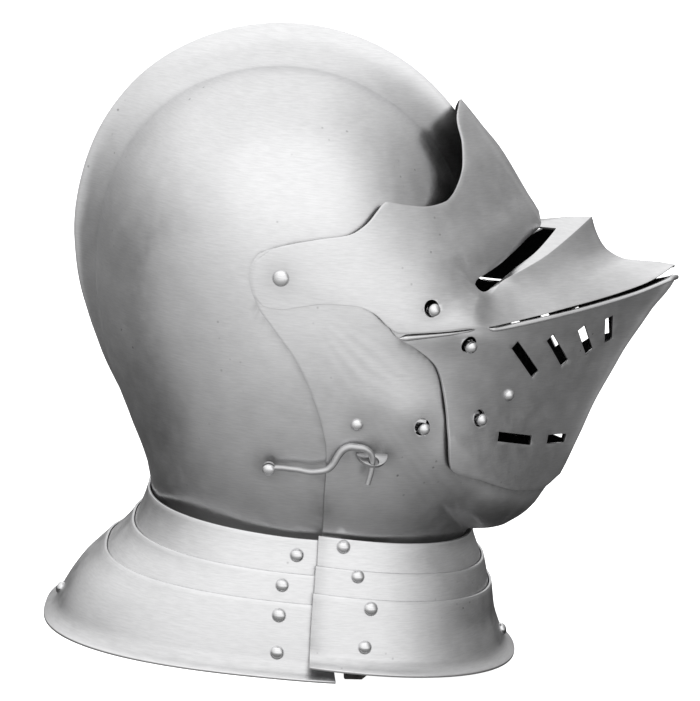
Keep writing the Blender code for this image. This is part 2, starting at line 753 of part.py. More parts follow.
def collar_point(share, turn, layer, offset=0.0):
    """Place on the collar: share of its height, turn 0 at the back and 180 in front, and the layer."""
    back, side, front = (ease(COLLAR_PROFILE, share, k) * COLLAR_FLARE / 100 for k in (1, 2, 3))
    cosine = math.cos(math.radians(turn))
    sine = math.sin(math.radians(turn))
    outside = layer * LAYER + offset
    half_width = COLLAR_HALF_WIDTH + side + outside
    if turn <= 90:
        reach = COLLAR_BACK_REACH + back + outside
        power = COLLAR_BACK_POWER
    else:
        reach = COLLAR_FRONT_REACH + front + outside
        power = COLLAR_FRONT_POWER
    along_head = math.copysign(abs(cosine) ** (2 / power), cosine)
    return NECK_MIDDLE - reach * along_head, half_width * max(sine, 0.0) ** (2 / power)


def rear_height(share, turn):
    level = COLLAR_TOP_SIDE + (COLLAR_TOP_BACK - COLLAR_TOP_SIDE) * max(math.cos(math.radians(turn)), 0.0)
    return -(level + share * (PIVOT_HEIGHT - level))


def front_height(share, turn):
    ahead = max(-math.cos(math.radians(turn)), 0.0)
    top = COLLAR_TOP_FRONT_SIDE + (COLLAR_TOP_FRONT - COLLAR_TOP_FRONT_SIDE) * ahead
    low = PIVOT_HEIGHT - FRONT_RIM_RISE * (1 - ahead)
    return -(top + share * (low - top))


def lame_section(layer, top, bottom, turn, height, flanged):
    """Closed section of a collar plate, from its top edge down the outside and up the inside."""
    shares = [top + (bottom - top) * k / 3 for k in range(4)]
    outer = []
    if flanged:
        rise = FLANGE_HEIGHT / SIDE_DROP
        shares = [top + (1 - rise - top) * k / 3 for k in range(4)]
    for share in shares:
        outer.append((share, 0.0, 0.0))
    inner = [(share, -WALL, 0.0) for share in reversed(shares)]
    if flanged:
        outer.append((1.0, FLANGE_OUT, WALL))
        outer.append((1.0, FLANGE_OUT, 0.0))
        inner.insert(0, (1.0, FLANGE_OUT - 2.2 * WALL, 0.0))
    points = []
    for share, offset, lift in outer + inner:
        forward, out = collar_point(share, turn, layer, offset)
        points.append(spot(forward, height(share, turn) + lift, out))
    return points


def sweep_mesh(name, sections):
    """Closed solid through closed sections of equal length, with its two ends filled."""
    mesh = bpy.data.meshes.new(name)
    work = bmesh.new()
    made = [[work.verts.new(point) for point in section] for section in sections]
    count = len(sections[0])
    for before, after in zip(made, made[1:]):
        for k in range(count):
            n = (k + 1) % count
            work.faces.new((before[k], before[n], after[n], after[k]))
    work.faces.new(made[0])
    work.faces.new(list(reversed(made[-1])))
    bmesh.ops.recalc_face_normals(work, faces=work.faces)
    for face in work.faces:
        face.smooth = len(face.verts) == 4
    work.to_mesh(mesh)
    work.free()
    return mesh


def turn_at(forward, share, layer):
    """Turn around the collar at which its plate comes so far forward."""
    low, high = 0.0, 180.0
    for _ in range(40):
        middle = (low + high) / 2
        if collar_point(share, middle, layer)[0] < forward:
            low = middle
        else:
            high = middle
    return (low + high) / 2


def make_lames():
    steps = 12
    for name, layer, top, bottom in REAR_LAMES:
        end = turn_at(COLLAR_SPLIT + COLLAR_LAP, top, layer)
        turns = [-end + 2 * end * k / (2 * steps) for k in range(2 * steps + 1)]
        sections = []
        for turn in turns:
            section = lame_section(layer, top, bottom, abs(turn), rear_height, bottom == 1.0)
            side = -1 if turn < 0 else 1
            sections.append([Vector((p.x * side, p.y, p.z)) for p in section])
        add_object(name, sweep_mesh(name, sections), steel)
    for name, layer, top, bottom in FRONT_LAMES:
        start = turn_at(COLLAR_SPLIT, top, layer)
        turns = [start + (360 - 2 * start) * k / (2 * steps) for k in range(2 * steps + 1)]
        sections = []
        for turn in turns:
            section = lame_section(layer, top, bottom, min(turn, 360 - turn), front_height, bottom == 1.0)
            side = -1 if turn > 180 else 1
            sections.append([Vector((p.x * side, p.y, p.z)) for p in section])
        add_object(name, sweep_mesh(name, sections), steel)


def mirrored(place):
    """The same place and direction on the wearer's left side."""
    flip = Matrix.Diagonal((-1, 1, 1, 1))
    return flip @ place @ flip


def collar_frame(share, forward, layer, height):
    turn = turn_at(forward, share, layer)
    step = 0.01

    def point(a, b):
        f, x = collar_point(a, b, layer)
        return spot(f, height(a, b), x)

    here = point(share, turn)
    aside = 0.5 if turn < 90 else -0.5
    outward = (point(share, turn + aside) - here).cross(point(share + step, turn) - here).normalized()
    if outward.dot(here - Vector((0, PIVOT_Y - NECK_MIDDLE, here.z))) < 0:
        outward.negate()
    return frame_at(here + outward * RIVET_SEAT, outward)


def make_rivets():
    rivet = turned_mesh("rivet", rivet_profile(RIVET_RADIUS, RIVET_HEIGHT), 8)
    pivot = turned_mesh("pivot_rivet", rivet_profile(PIVOT_RIVET_RADIUS, RIVET_HEIGHT), 12)
    small = turned_mesh("small_rivet", rivet_profile(SMALL_RIVET_RADIUS, RIVET_HEIGHT), 8)
    pivot_place = frame_at(spot(0, 0, HALF_WIDTH + (3 + 2 * SPARE) * LAYER + RIVET_SEAT), Vector((-1, 0, 0)))
    turned("pivot_rivet_right", pivot, pivot_place, steel)
    turned("pivot_rivet_left", pivot, mirrored(pivot_place), steel)
    for label, rivets, lames, height in (("rear", REAR_RIVETS, REAR_LAMES, rear_height),
                                         ("front", FRONT_RIVETS, FRONT_LAMES, front_height)):
        for number, (share, forward) in enumerate(rivets, start=1):
            layer = max(row[1] for row in lames if row[2] < share)
            place = collar_frame(share, forward * FACE_REACH / 100, layer, height)
            turned("%s_rivet_%d_right" % (label, number), rivet, place, steel)
            turned("%s_rivet_%d_left" % (label, number), rivet, mirrored(place), steel)
    seat = Matrix.Translation((0, 0, 2 * RIVET_SEAT))
    rear_share = 1 - RIM_RIVET_UP / (PIVOT_HEIGHT - COLLAR_TOP_BACK)
    rear = collar_frame(rear_share, -1.0, REAR_LAMES[-1][1], rear_height)
    turned("rear_rim_rivet", rivet, rear @ seat, steel)
    front_share = 1 - RIM_RIVET_UP / (PIVOT_HEIGHT - COLLAR_TOP_FRONT)
    front = collar_frame(front_share, 1.0, FRONT_LAMES[-1][1], front_height)
    turned("front_rim_rivet", rivet, front @ seat, steel)
    for name, law, at in (("breath_leaf_rivet", ventail_out, BREATH_LEAF_AT),
                          ("bevor_leaf_rivet", bevor_out, BEVOR_LEAF_AT)):
        place = surface_frame(law, at) @ Matrix.Translation((0, 0, RIVET_SEAT))
        turned(name, small, place, steel)


def box_mesh(name, length, width, height, centre=(0, 0, 0)):
    mesh = bpy.data.meshes.new(name)
    work = bmesh.new()
    bmesh.ops.create_cube(work, size=1.0)
    bmesh.ops.scale(work, vec=(length, width, height), verts=work.verts)
    bmesh.ops.translate(work, vec=centre, verts=work.verts)
    work.to_mesh(mesh)
    work.free()
    return mesh


def cylinder_mesh(name, radius, height, sides=14):
    mesh = bpy.data.meshes.new(name)
    work = bmesh.new()
    bmesh.ops.create_cone(work, cap_ends=True, segments=sides, radius1=radius, radius2=radius, depth=height)
    work.to_mesh(mesh)
    work.free()
    return mesh


def make_slots(ventail):
    depth = 0.020
    for number, row in enumerate(BREATH_SLOTS, start=1):
        middle = mix(row[:2], row[2:], 0.5)
        place = surface_frame(ventail_out, middle, row[2:])
        f1, u1 = face_share(row[:2])
        f2, u2 = face_share(row[2:])
        length = (spot(f1, u1, ventail_out(f1, u1)) - spot(f2, u2, ventail_out(f2, u2))).length
        mesh = box_mesh("breath_slot_%d" % number, length, SLOT_WIDTH, depth)
        for side, where in (("right", place), ("left", mirrored(place))):
            cutter = add_cutter("breath_slot_%d_%s" % (number, side), mesh)
            cutter.matrix_world = where
            cut(ventail, cutter)


def make_pegs(visor, ventail, bevor):
    stub = turned_mesh("stub_peg", peg_profile(PEG_RADIUS, PEG_STANDS, WALL), 10)
    leafed = turned_mesh("leafed_peg", peg_profile(PEG_RADIUS * 0.94, PEG_STANDS * 0.8, WALL + 1.2 * LEAF_DEEP), 10)
    hole = cylinder_mesh("peg_hole", PEG_HOLE, 0.008)
    for name, mesh, law, at, holder, leaf_at in (
            ("visor_peg", stub, visor_out, VISOR_PEG_AT, visor, None),
            ("ventail_peg", stub, ventail_out, VENTAIL_PEG_AT, ventail, None),
            ("breath_peg", leafed, ventail_out, BREATH_PEG_AT, ventail, BREATH_LEAF_AT),
            ("bevor_peg", leafed, bevor_out, BEVOR_PEG_AT, bevor, BEVOR_LEAF_AT)):
        place = surface_frame(law, at, leaf_at)
        made = turned(name, mesh, place, steel)
        cutter = add_cutter(name + "_hole", hole)
        cutter.matrix_world = place
        cut(holder, cutter)
        if leaf_at:
            end = surface_frame(law, leaf_at) @ Vector((0, 0, -WALL - LEAF_DEEP))
            start = place @ Vector((0, 0, -WALL - LEAF_DEEP))
            line = end - start
            outward = place.to_3x3() @ Vector((0, 0, 1))
            leaf = add_cutter(name + "_leaf", box_mesh(name + "_leaf", line.length + LEAF_WIDTH,
                                                        LEAF_WIDTH, LEAF_THICK, (0, 0, -LEAF_THICK / 2)))
            leaf.matrix_world = frame_at(start + line / 2, perpendicular(outward, line), line)
            join = made.modifiers.new("Leaf", "BOOLEAN")
            join.operation = "UNION"
            join.object = leaf


def perpendicular(outward, line):
    direction = line.normalized()
    return (outward - direction * outward.dot(direction)).normalized()


def make_hook():
    route = []
    points = [face_share(p) for p in HOOK_ROUTE]
    count = 22
    for k in range(count + 1):
        forward, up = along(points, k / count)
        near = soft_step(0.02, 0.14, k / count)
        route.append(spot(forward, up, HOOK_OUT - HOOK_STEP * (1 - near)))
    curve = bpy.data.curves.new("hook_wire", "CURVE")
    curve.dimensions = "3D"
    curve.bevel_depth = WIRE_RADIUS
    curve.bevel_resolution = 1
    curve.use_fill_caps = True
    spline = curve.splines.new("POLY")
    spline.points.add(len(route) - 1)
    for point, place in zip(spline.points, route):
        point.co = (*place, 1.0)
    wire = bpy.data.objects.new("hook_wire", curve)
    cutters.objects.link(wire)
    mesh = bpy.data.meshes.new_from_object(wire.evaluated_get(bpy.context.evaluated_depsgraph_get()))
    work = bmesh.new()
    work.from_mesh(mesh)
    bmesh.ops.remove_doubles(work, verts=work.verts, dist=0.00002)
    work.to_mesh(mesh)
    work.free()
    bpy.data.objects.remove(wire)
    mesh.name = "hook"
    made = add_object("hook", mesh, steel)
    side = HOOK_EYE_THICK / 2
    ring = turned_mesh("hook_ring", ((HOOK_EYE_RADIUS, side), (HOOK_EYE_RADIUS, -side), (HOOK_EYE_HOLE, -side),
                                     (HOOK_EYE_HOLE, side), (HOOK_EYE_RADIUS, side)), 12)
    place = hook_frame()
    eye = turned("hook_eye", ring, place, None)
    helmet.objects.unlink(eye)
    cutters.objects.link(eye)
    eye.hide_render = True
    join = made.modifiers.new("Eye", "BOOLEAN")
    join.operation = "UNION"
    join.object = eye
    head = WIRE_RADIUS + 2 * GAP
    skull_face = face_out(*face_share(HOOK_AT), 0)
    foot = -((HOOK_OUT - HOOK_STEP - skull_face) * math.cos(HOOK_LEAN) - GAP / 2)
    radius, height, neck = HOOK_HEAD_RADIUS, HOOK_HEAD_HEIGHT, HOOK_NECK_RADIUS
    rivet = turned_mesh("hook_rivet", ((0, head + height), (0.55 * radius, head + 0.86 * height),
                                       (0.94 * radius, head + 0.41 * height), (radius, head), (neck, head),
                                       (neck, foot), (0, foot)), 10)
    turned("hook_rivet", rivet, place, steel)
    return made


def hook_frame():
    """The hook's rivet leans as the skull does there, so that the hook swings clear of it."""
    forward, up = face_share(HOOK_AT)
    place = spot(forward, up, HOOK_OUT - HOOK_STEP)
    return frame_at(place, Vector((-math.cos(HOOK_LEAN), 0, -math.sin(HOOK_LEAN))))


def make_lug():
    """Half-moon plate on the bevor, pierced for the hook."""
    place = surface_frame(bevor_out, LUG_AT)
    outward = (place.to_3x3() @ Vector((0, 0, 1)))
    outward.z = 0
    outward.normalize()
    here = place.translation + outward * (GAP / 2)
    curve = bpy.data.curves.new("eye_lug", "CURVE")
    curve.dimensions = "2D"
    curve.fill_mode = "BOTH"
    curve.extrude = LUG_THICK / 2
    half = [(LUG_RADIUS * math.cos(math.pi * k / 12), LUG_RADIUS * math.sin(math.pi * k / 12)) for k in range(13)]
    centre = LUG_RADIUS * 0.62
    hole = [(LUG_HOLE * math.cos(math.tau * k / 12), centre + LUG_HOLE * math.sin(math.tau * k / 12))
            for k in range(12)]
    for outline in (half, hole):
        spline = curve.splines.new("POLY")
        spline.points.add(len(outline) - 1)
        spline.use_cyclic_u = True
        for point, (x, y) in zip(spline.points, outline):
            point.co = (x, y, 0, 1)
    made = add_object("eye_lug", curve, steel)
    side = outward.cross(Vector((0, 0, 1)))
    turn = Matrix((side, outward, side.cross(outward))).transposed()
    made.matrix_world = Matrix.Translation(here) @ turn.to_4x4()
    return made


def make_straps():
    """Leather that carries the front collar plates, behind them on each side."""
    levels = ((0.06, 1), (0.27, 1), (0.34, 1.9), (0.49, 2), (0.57, 2.9), (0.90, 3))
    middle = FRONT_RIVETS[2][1] * FACE_REACH / 100
    sections = []
    for share, layer in levels:
        sections.append(strap_section(share, layer, middle, STRAP_WIDTH))
    low = -(PIVOT_HEIGHT - STRAP_CLEAR_OF_FLOOR)
    tip = []
    for point in strap_section(0.90, 3, middle - STRAP_WIDTH * 0.22, STRAP_WIDTH * 0.4):
        tip.append(Vector((point.x, point.y, PIVOT_HEIGHT + low)))
    sections.append(tip)
    mesh = sweep_mesh("front_strap_right", sections)
    add_object("front_strap_right", mesh, leather)
    other = mesh.copy()
    other.transform(Matrix.Diagonal((-1, 1, 1, 1)))
    other.flip_normals()
    add_object("front_strap_left", other, leather)


def strap_section(share, layer, middle, width):
    outside = []
    inside = []
    for k in range(5):
        forward = middle + width * (k / 4 - 0.5)
        turn = turn_at(forward, share, layer)
        level = front_height(share, turn)
        for points, offset in ((outside, -WALL - GAP), (inside, -WALL - GAP - STRAP_THICK)):
            f, x = collar_point(share, turn, layer, offset)
            points.append(spot(f, level, x))
    return outside + list(reversed(inside))


for old in list(bpy.data.objects):
    bpy.data.objects.remove(old)
helmet = bpy.data.collections.new("close_helmet")
cutters = bpy.data.collections.new("close_helmet_cutters")
bpy.context.scene.collection.children.link(helmet)
bpy.context.scene.collection.children.link(cutters)
steel = material("plate_steel", (0.60, 0.60, 0.61), 0.32, 1.0)
leather = material("strap_leather", (0.06, 0.045, 0.035), 0.75, 0.0)

make_skull()
bevor_plate = make_bevor()
ventail_plate = make_ventail()
visor_plate = make_visor()
make_lames()
make_slots(ventail_plate)
make_pegs(visor_plate, ventail_plate, bevor_plate)
make_rivets()
make_hook()
make_lug()
make_straps()
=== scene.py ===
# %% [markdown]
# # A close helmet
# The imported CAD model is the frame: it fixes every size and every joint. This lesson dresses it.
# Each steel plate is made again as a finer surface in the same place, then walled, pierced and
# finished, and rides on the body that carries the plate it stands for.

# %% The frame
import bisect
import math

import bpy
import bmesh
from mathutils import Matrix, Vector


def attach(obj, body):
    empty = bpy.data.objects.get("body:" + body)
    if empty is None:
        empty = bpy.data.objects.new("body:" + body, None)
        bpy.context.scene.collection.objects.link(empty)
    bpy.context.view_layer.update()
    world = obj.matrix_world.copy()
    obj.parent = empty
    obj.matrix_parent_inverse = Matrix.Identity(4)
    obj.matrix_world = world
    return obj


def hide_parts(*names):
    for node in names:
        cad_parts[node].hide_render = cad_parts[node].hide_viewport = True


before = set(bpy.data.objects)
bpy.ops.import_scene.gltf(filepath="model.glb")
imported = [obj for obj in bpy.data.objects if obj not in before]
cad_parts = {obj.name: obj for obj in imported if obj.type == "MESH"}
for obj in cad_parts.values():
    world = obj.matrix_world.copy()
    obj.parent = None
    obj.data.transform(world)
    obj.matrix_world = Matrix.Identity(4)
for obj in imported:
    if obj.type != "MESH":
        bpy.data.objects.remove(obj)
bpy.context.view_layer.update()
scene = bpy.context.scene

# %% [markdown]
# ## Sizes
# The plates turn about one axis through the wearer's temples. A place on a plate is given as
# forward and up from that axis, in the side view, and its distance out to the side follows
# from the form. The numbers are those of the CAD source, in metres or in hundredths of the face's reach.

# %% Sizes
WALL = 0.0012
LAYER = 0.0018
PIVOT_HEIGHT = 0.2045
HALF_WIDTH = 0.1026
COMB_REACH = 0.1145
COMB_HEIGHT = 0.0195
COMB_FOOT = 0.0200
FACE_REACH = 0.2000
PIVOT_Y = (1.0185 * FACE_REACH - 0.956 * COMB_REACH) / 2
NECK_DROP = 0.1440
NECK_MIDDLE = 0.0200
SPARE = 0.1
VENTAIL_CLEAR = 0.75
VENTAIL_TUCK = 1.1
VISOR_CLEAR = 0.45

FACE_FORM = (
    # angle, comb, face, power, edge
    (-111.7, 0.0, 0.7530, 2.2, 0.50), (-108.7, 0.0, 0.7800, 2.2, 0.50), (-104.0, 0.0, 0.8240, 2.2, 0.50),
    (-97.7, 0.0, 0.8850, 2.2, 0.50), (-90.0, 0.0, 0.9550, 2.2, 0.50), (-81.5, 0.0, 0.9800, 2.2, 0.50),
    (-70.0, 0.0, 0.9850, 2.2, 0.50), (-63.3, 0.0, 0.9580, 2.2, 0.50), (-57.3, 0.0, 0.9130, 2.2, 0.50),
    (-54.5, 0.0, 0.8960, 2.2, 0.50), (-52.7, 0.0, 0.8870, 2.2, 0.50), (-51.9, 0.0, 0.8820, 2.2, 0.50),
    (-51.0, 0.0, 0.8900, 2.2, 0.50), (-50.0, 0.0, 0.9010, 2.2, 0.51), (-48.5, 0.0, 0.9160, 2.2, 0.52),
    (-46.5, 0.0, 0.9300, 2.2, 0.55), (-42.2, 0.0, 0.9400, 2.2, 0.65), (-38.3, 0.0, 0.9290, 2.2, 0.80),
    (-35.1, 0.0, 0.9205, 2.3, 0.95), (-28.7, 0.0, 0.8980, 2.4, 1.20), (-21.6, 0.0, 0.8845, 2.4, 1.25),
    (-12.0, 0.0, 0.9025, 2.4, 1.25), (-9.0, 0.15, 0.7800, 2.4, 1.20), (-6.0, 0.45, 0.5450, 2.35, 1.10),
    (-3.0, 0.80, 0.2770, 2.3, 1.00), (0.0, 1.17, 0.0, 2.25, 0.92), (2.0, 1.13, 0.0, 2.2, 0.87),
    (5.0, 1.107, 0.0, 2.2, 0.85), (10.5, 1.100, 0.0, 2.2, 0.85), (17.6, 1.058, 0.0, 2.2, 0.85),
    (23.6, 1.036, 0.0, 2.2, 0.85), (29.8, 1.014, 0.0, 2.2, 0.85), (37.4, 0.987, 0.0, 2.2, 0.85),
    (45.0, 0.979, 0.0, 2.2, 0.85), (60.0, 0.976, 0.0, 2.2, 0.85), (95.0, 0.976, 0.0, 2.2, 0.60),
    (120.0, 0.976, 0.0, 2.2, 0.50), (230.0, 1.030, 0.0, 2.2, 0.50), (248.3, 1.315, 0.0, 2.2, 0.50),
)
KEEL_FORM = ((-40.0, 0.9600), (-35.1, 0.9455), (-28.7, 0.9230), (-21.6, 0.9095), (-13.7, 0.9215),
             (-5.5, 0.9645), (0.8, 1.0185), (10.0, 1.0300))
SKULL_FORM = (
    # angle, reach, comb
    (20.0, 0.962, 0.80), (45.0, 0.974, 0.90), (70.0, 0.987, 1.00), (100.0, 0.995, 1.00),
    (130.0, 1.000, 0.95), (150.0, 0.986, 0.88), (168.5, 0.964, 0.78), (179.5, 0.956, 0.70),
    (190.5, 0.948, 0.58), (202.0, 0.948, 0.42), (211.0, 0.958, 0.28), (219.2, 0.981, 0.16),
    (225.2, 1.002, 0.08), (230.6, 1.031, 0.02), (235.5, 1.075, 0.00), (240.1, 1.128, 0.00),
    (244.2, 1.198, 0.00), (248.3, 1.322, 0.00),
)
SKULL_EDGE = ((-70.0, 0.770), (-58.0, 0.300), (-44.0, 0.235), (-30.0, 0.205), (-15.0, 0.195), (0.0, 0.210),
              (13.0, 0.270), (24.0, 0.560))
BEVOR_TOP = ((0, 7.7), (15, 2.5), (30, -5), (40, -12), (46, -20.5), (49.5, -30), (52, -39), (57, -45),
             (66, -48.5), (78.5, -49.2))
BEVOR_REAR = ((0, 7.7), (-5.6, 5.2), (-7.7, -0.8), (-5.2, -7.8), (-1.9, -11.9), (1.6, -15.9), (5.3, -20.4),
              (8.1, -24.8), (10.7, -30), (12.6, -34.3), (14.3, -39.5), (15.1, -42.5), (15.8, -50),
              (16, -58), (16.4, -65.3), (16.5, -71.0))
BEVOR_FRONT = ((0, -32.1), (0.65, -46.5), (0.769, -49.0), (0.846, -50.8), (0.923, -51.9), (1, -52.7))
VENTAIL_COLUMNS = (
    (-5.6, 5.6, -5.6, -5.6), (5.5, 7.4, 4.5, -6.4), (15, 4.5, 15, -4.4), (24, 0.5, 23, -5.2),
    (32, -3.5, 29.8, -13.0), (39, -6.2, 35.5, -16.4), (45.5, -8.8, 41.0, -21.4), (51.5, -10.2, 43.8, -29.2),
    (54.5, -11.0, 45.6, -38.2), (61, -10.0, 47.2, -47.4), (70, -8.3, 55.5, -51.2), (80, -6.2, 64.2, -55.0),
    (91, -3.3, 72.5, -57.2),
)
VISOR_TOP = ((-2.9, 6.9), (1.4, 8.4), (8.6, 10.2), (15.9, 11.7), (20, 14.5), (22.7, 18.1), (24.0, 19.5),
             (29.3, 18.8), (33.9, 18.4), (39.2, 19.4), (42.0, 22.7), (43.2, 27.4), (42.8, 32.0), (41.0, 38.2),
             (41.5, 41.4))
VISOR_BOTTOM = ((-3.8, -7.4), (0, -8.0), (5, -6.9), (12.3, -5.5), (19, -5.6), (23.6, -7.1), (27.7, -10.5),
                (30.3, -12), (40.5, -11.4), (48, -10.6))
VISOR_LOBE = ((-2.9, 6.9), (-6.9, 2.7), (-7.7, -0.3), (-6.6, -4.7), (-3.8, -7.4))
SIGHT_TOP = ((48.2, 0.4, 32.4), (51.5, 1.9, 28.6), (55.2, 4.0, 23.8), (58.9, 6.8, 17.9), (62.3, 9.4, 10.2),
             (65.0, 11.0, 3.2), (65.3, 12.0, 0))
SIGHT_LOW = ((48.6, -1.2, 32.4), (51.3, -2.4, 29.6), (54.4, -0.7, 26.4), (58.8, 2.6, 21.4), (63.7, 5.9, 15.4),
             (69.1, 11.2, 5.5), (71.0, 13.5, 0))
CREST = ((48.9, -3.2, 33.0), (52.0, -3.6, 30.4), (55.8, 0.0, 27.0), (60.0, 2.1, 23.0), (66.0, 5.2, 16.6),
         (73.0, 10.2, 7.9), (78.3, 14.3, 0))
BEAK_EDGE = ((48.0, -10.6, 40.6), (53.4, -10.3, 36.2), (63.3, -9.0, 28.3), (74.8, -6.6, 19.6),
             (86.7, -3.7, 10.3), (95.0, -0.7, 4.6), (101.1, 3.3, 0))
BEAK_SCOOP = ((0, 0), (0.075, 0.39), (0.22, 0.79), (0.47, 0.98), (0.78, 0.97), (1, 1))
SCOOP_BY_LINE = (0.0, 0.0, 0.08, 0.18, 0.35, 0.60, 1.0)
print("pivot axis at", round(PIVOT_Y, 4), PIVOT_HEIGHT)


# %% Reading a table and a side-view place
WORKED_OUT = {}


def curve(table, column):
    """A column's values and tangents, worked out once for each fixed table."""
    key = (id(table), column)
    if key in WORKED_OUT:
        return WORKED_OUT[key]
    xs = [row[0] for row in table]
    ys = [row[column] for row in table]
    slopes = [(ys[i + 1] - ys[i]) / (xs[i + 1] - xs[i]) for i in range(len(xs) - 1)]
    tangents = [slopes[0]]
    for before, after in zip(slopes, slopes[1:]):
        tangents.append(0.0 if before * after <= 0 else 2 * before * after / (before + after))
    tangents.append(slopes[-1])
    if isinstance(table, tuple):
        WORKED_OUT[key] = (xs, ys, tangents)
    return xs, ys, tangents


def ease(table, at, column):
    """Smooth value of a table's column, without overshoot, at a value of its first column."""
    xs, ys, tangents = curve(table, column)
    if at <= xs[0]:
        return ys[0]
    if at >= xs[-1]:
        return ys[-1]
    i = bisect.bisect_right(xs, at) - 1
    step = xs[i + 1] - xs[i]
    t = (at - xs[i]) / step
    return ((1 + 2 * t) * (1 - t) ** 2 * ys[i] + t * (1 - t) ** 2 * step * tangents[i]
            + t * t * (3 - 2 * t) * ys[i + 1] - t * t * (1 - t) * step * tangents[i + 1])


def along(points, t):
    """Point on a smooth curve through the points, at a share of the way along."""
    lengths = [0.0]
    for a, b in zip(points, points[1:]):
        lengths.append(lengths[-1] + math.dist(a, b))
    rows = [(length / lengths[-1],) + tuple(point) for length, point in zip(lengths, points)]
    return tuple(ease(rows, t, k) for k in range(1, len(rows[0])))


def by_number(points, number):
    """Point on a smooth curve through the points, counted from 0 at the first."""
    rows = [(k,) + tuple(point) for k, point in enumerate(points)]
    return tuple(ease(rows, number, k) for k in range(1, len(rows[0])))


def soft_step(low, high, value):
    t = min(max((value - low) / (high - low), 0.0), 1.0)
    return t * t * (3 - 2 * t)


def mix(a, b, t):
    return tuple(p + (q - p) * t for p, q in zip(a, b))


def face_share(point):
    return tuple(value * FACE_REACH / 100 for value in point)


def in_metres(table):
    return [face_share(point) for point in table]


def spot(forward, up, out):
    """Point on the wearer's right, from its place beside the pivot axis."""
    return Vector((-out, PIVOT_Y - forward, PIVOT_HEIGHT + up))


# %% [markdown]
# ## The forms
# A bowl, a cheek or a prow is a cross-section that closes from the pivot out to the middle plane.
# Its reach changes with the angle around the axis. A low power makes it round and an edge above one
# makes it a wedge, so one rule gives the whole face, and each plate is the same form one layer out.

# %% Half-width of each plate at a place
def keel_layers(angle):
    return 1.0 + 0.4 * soft_step(-50, -35, angle) * (1 - soft_step(10, 25, angle))


def face_reach(angle, layer):
    reach = ease(FACE_FORM, angle, 1) * COMB_REACH + ease(FACE_FORM, angle, 2) * FACE_REACH
    return reach + layer * LAYER * keel_layers(angle)


BESIDE = ((-1.0, 0.15), (-0.5, 0.22), (0.0, 0.26), (0.5, 0.22), (1.0, 0.15))


def form_out(radius, angle, layer):
    if angle < -111.7:
        angle += 360
    if angle > 248.3:
        angle -= 360
    share = min(radius / face_reach(angle, layer), 1.0)
    power = ease(FACE_FORM, angle, 3)
    return (HALF_WIDTH + layer * LAYER) * max(1 - share ** power, 0.0) ** ease(FACE_FORM, angle, 4)


def face_out(forward, up, layer):
    """Half-width of a plate, evened over a few degrees either way, as a planishing hammer does."""
    angle = math.degrees(math.atan2(up, forward))
    radius = math.hypot(forward, up)
    around = angle + 360 if angle < -111.7 else angle
    share = radius / face_reach(around, layer)
    reach = mix((0.28, 0.47), (0.36, 0.54), soft_step(-30, -15, angle))
    near = 1 - soft_step(reach[0], reach[1], radius / FACE_REACH)
    below = (1 - near) * (1 - soft_step(-30, -20, angle)) * (1 - soft_step(0.80, 0.93, share))
    spread = 13 * near + 5 * below
    if spread < 0.1:
        return form_out(radius, angle, layer)
    return sum(weight * form_out(radius, angle + spread * step, layer) for step, weight in BESIDE)


def bevor_out(forward, up):
    return face_out(forward, up, 1)


def visor_out(forward, up):
    angle = math.degrees(math.atan2(up, forward))
    clear = soft_step(0.25, 0.40, math.hypot(forward, up) / FACE_REACH) * (1 - soft_step(5, 20, angle))
    return face_out(forward, up, 3 + 2 * SPARE + VISOR_CLEAR * clear)


def ventail_out(forward, up):
    angle = math.degrees(math.atan2(up, forward))
    radius = math.hypot(forward, up)
    beyond = soft_step(0.30, 0.40, radius / FACE_REACH)
    layer = 2 + SPARE + beyond * VENTAIL_CLEAR * (1 - soft_step(-41, -24, angle))
    layer -= beyond * VENTAIL_TUCK * soft_step(-16, -11.0, angle)
    near = face_out(forward, up, layer)
    if angle < -40 or angle > 10:
        return near
    share = min(radius / (ease(KEEL_FORM, angle, 1) * FACE_REACH), 1.0)
    power = ease(FACE_FORM, min(angle, -12), 3)
    edge = ease(FACE_FORM, min(angle, -12), 4)
    far = (HALF_WIDTH + layer * LAYER) * max(1 - share ** power, 0.0) ** edge
    return near + (far - near) * soft_step(0.40 * FACE_REACH, 0.58 * FACE_REACH, radius)


BOWL_POWER = 2.2


def bowl_reach(angle):
    ridge = ease(SKULL_FORM, angle, 1) * COMB_REACH
    height = ease(SKULL_FORM, angle, 2) * COMB_HEIGHT
    return ridge, ridge - height, COMB_FOOT * math.sqrt(max(height, 0.0) / COMB_HEIGHT)


def skull_out(radius, angle):
    ridge, crease, foot = bowl_reach(angle)
    bowl = crease / (1 - (foot / HALF_WIDTH) ** 2) ** (1 / BOWL_POWER)
    if radius > crease and foot > 0:
        left = (ridge - radius) / (ridge - crease)
        return foot * (0.30 * left + 0.70 * left * left)
    return HALF_WIDTH * math.sqrt(max(1 - (radius / bowl) ** BOWL_POWER, 0.0))


def nape_out(radius, angle):
    """The skull behind and below, evened in the same way as the face."""
    end = bowl_reach(angle)[1] if angle <= 248.3 else face_reach(angle - 360, 0)
    spread = 11 * soft_step(195, 215, angle) * (1 - soft_step(0.55, 0.97, radius / end))
    total = 0.0
    for step, weight in BESIDE:
        at = angle + spread * step
        total += weight * (skull_out(radius, at) if at <= 248.3 else form_out(radius, at, 0))
    return total


# %% [markdown]
# ## Steel
# The real plates are polished with fine abrasive, so they show faint directional scratches, slow
# dents from the hammer and small pits. A shader group makes the scratches, dents and pits once for
# all plates. Painted shade, where shade falls round rivets, along laps and behind the hook, is painted
# into each plate's points as an attribute, because it follows the fittings.

# %% The steel surface group
def group_socket(tree, name, way, kind, value=None):
    made = tree.interface.new_socket(name=name, in_out=way, socket_type=kind)
    if value is not None:
        made.default_value = value
    return made


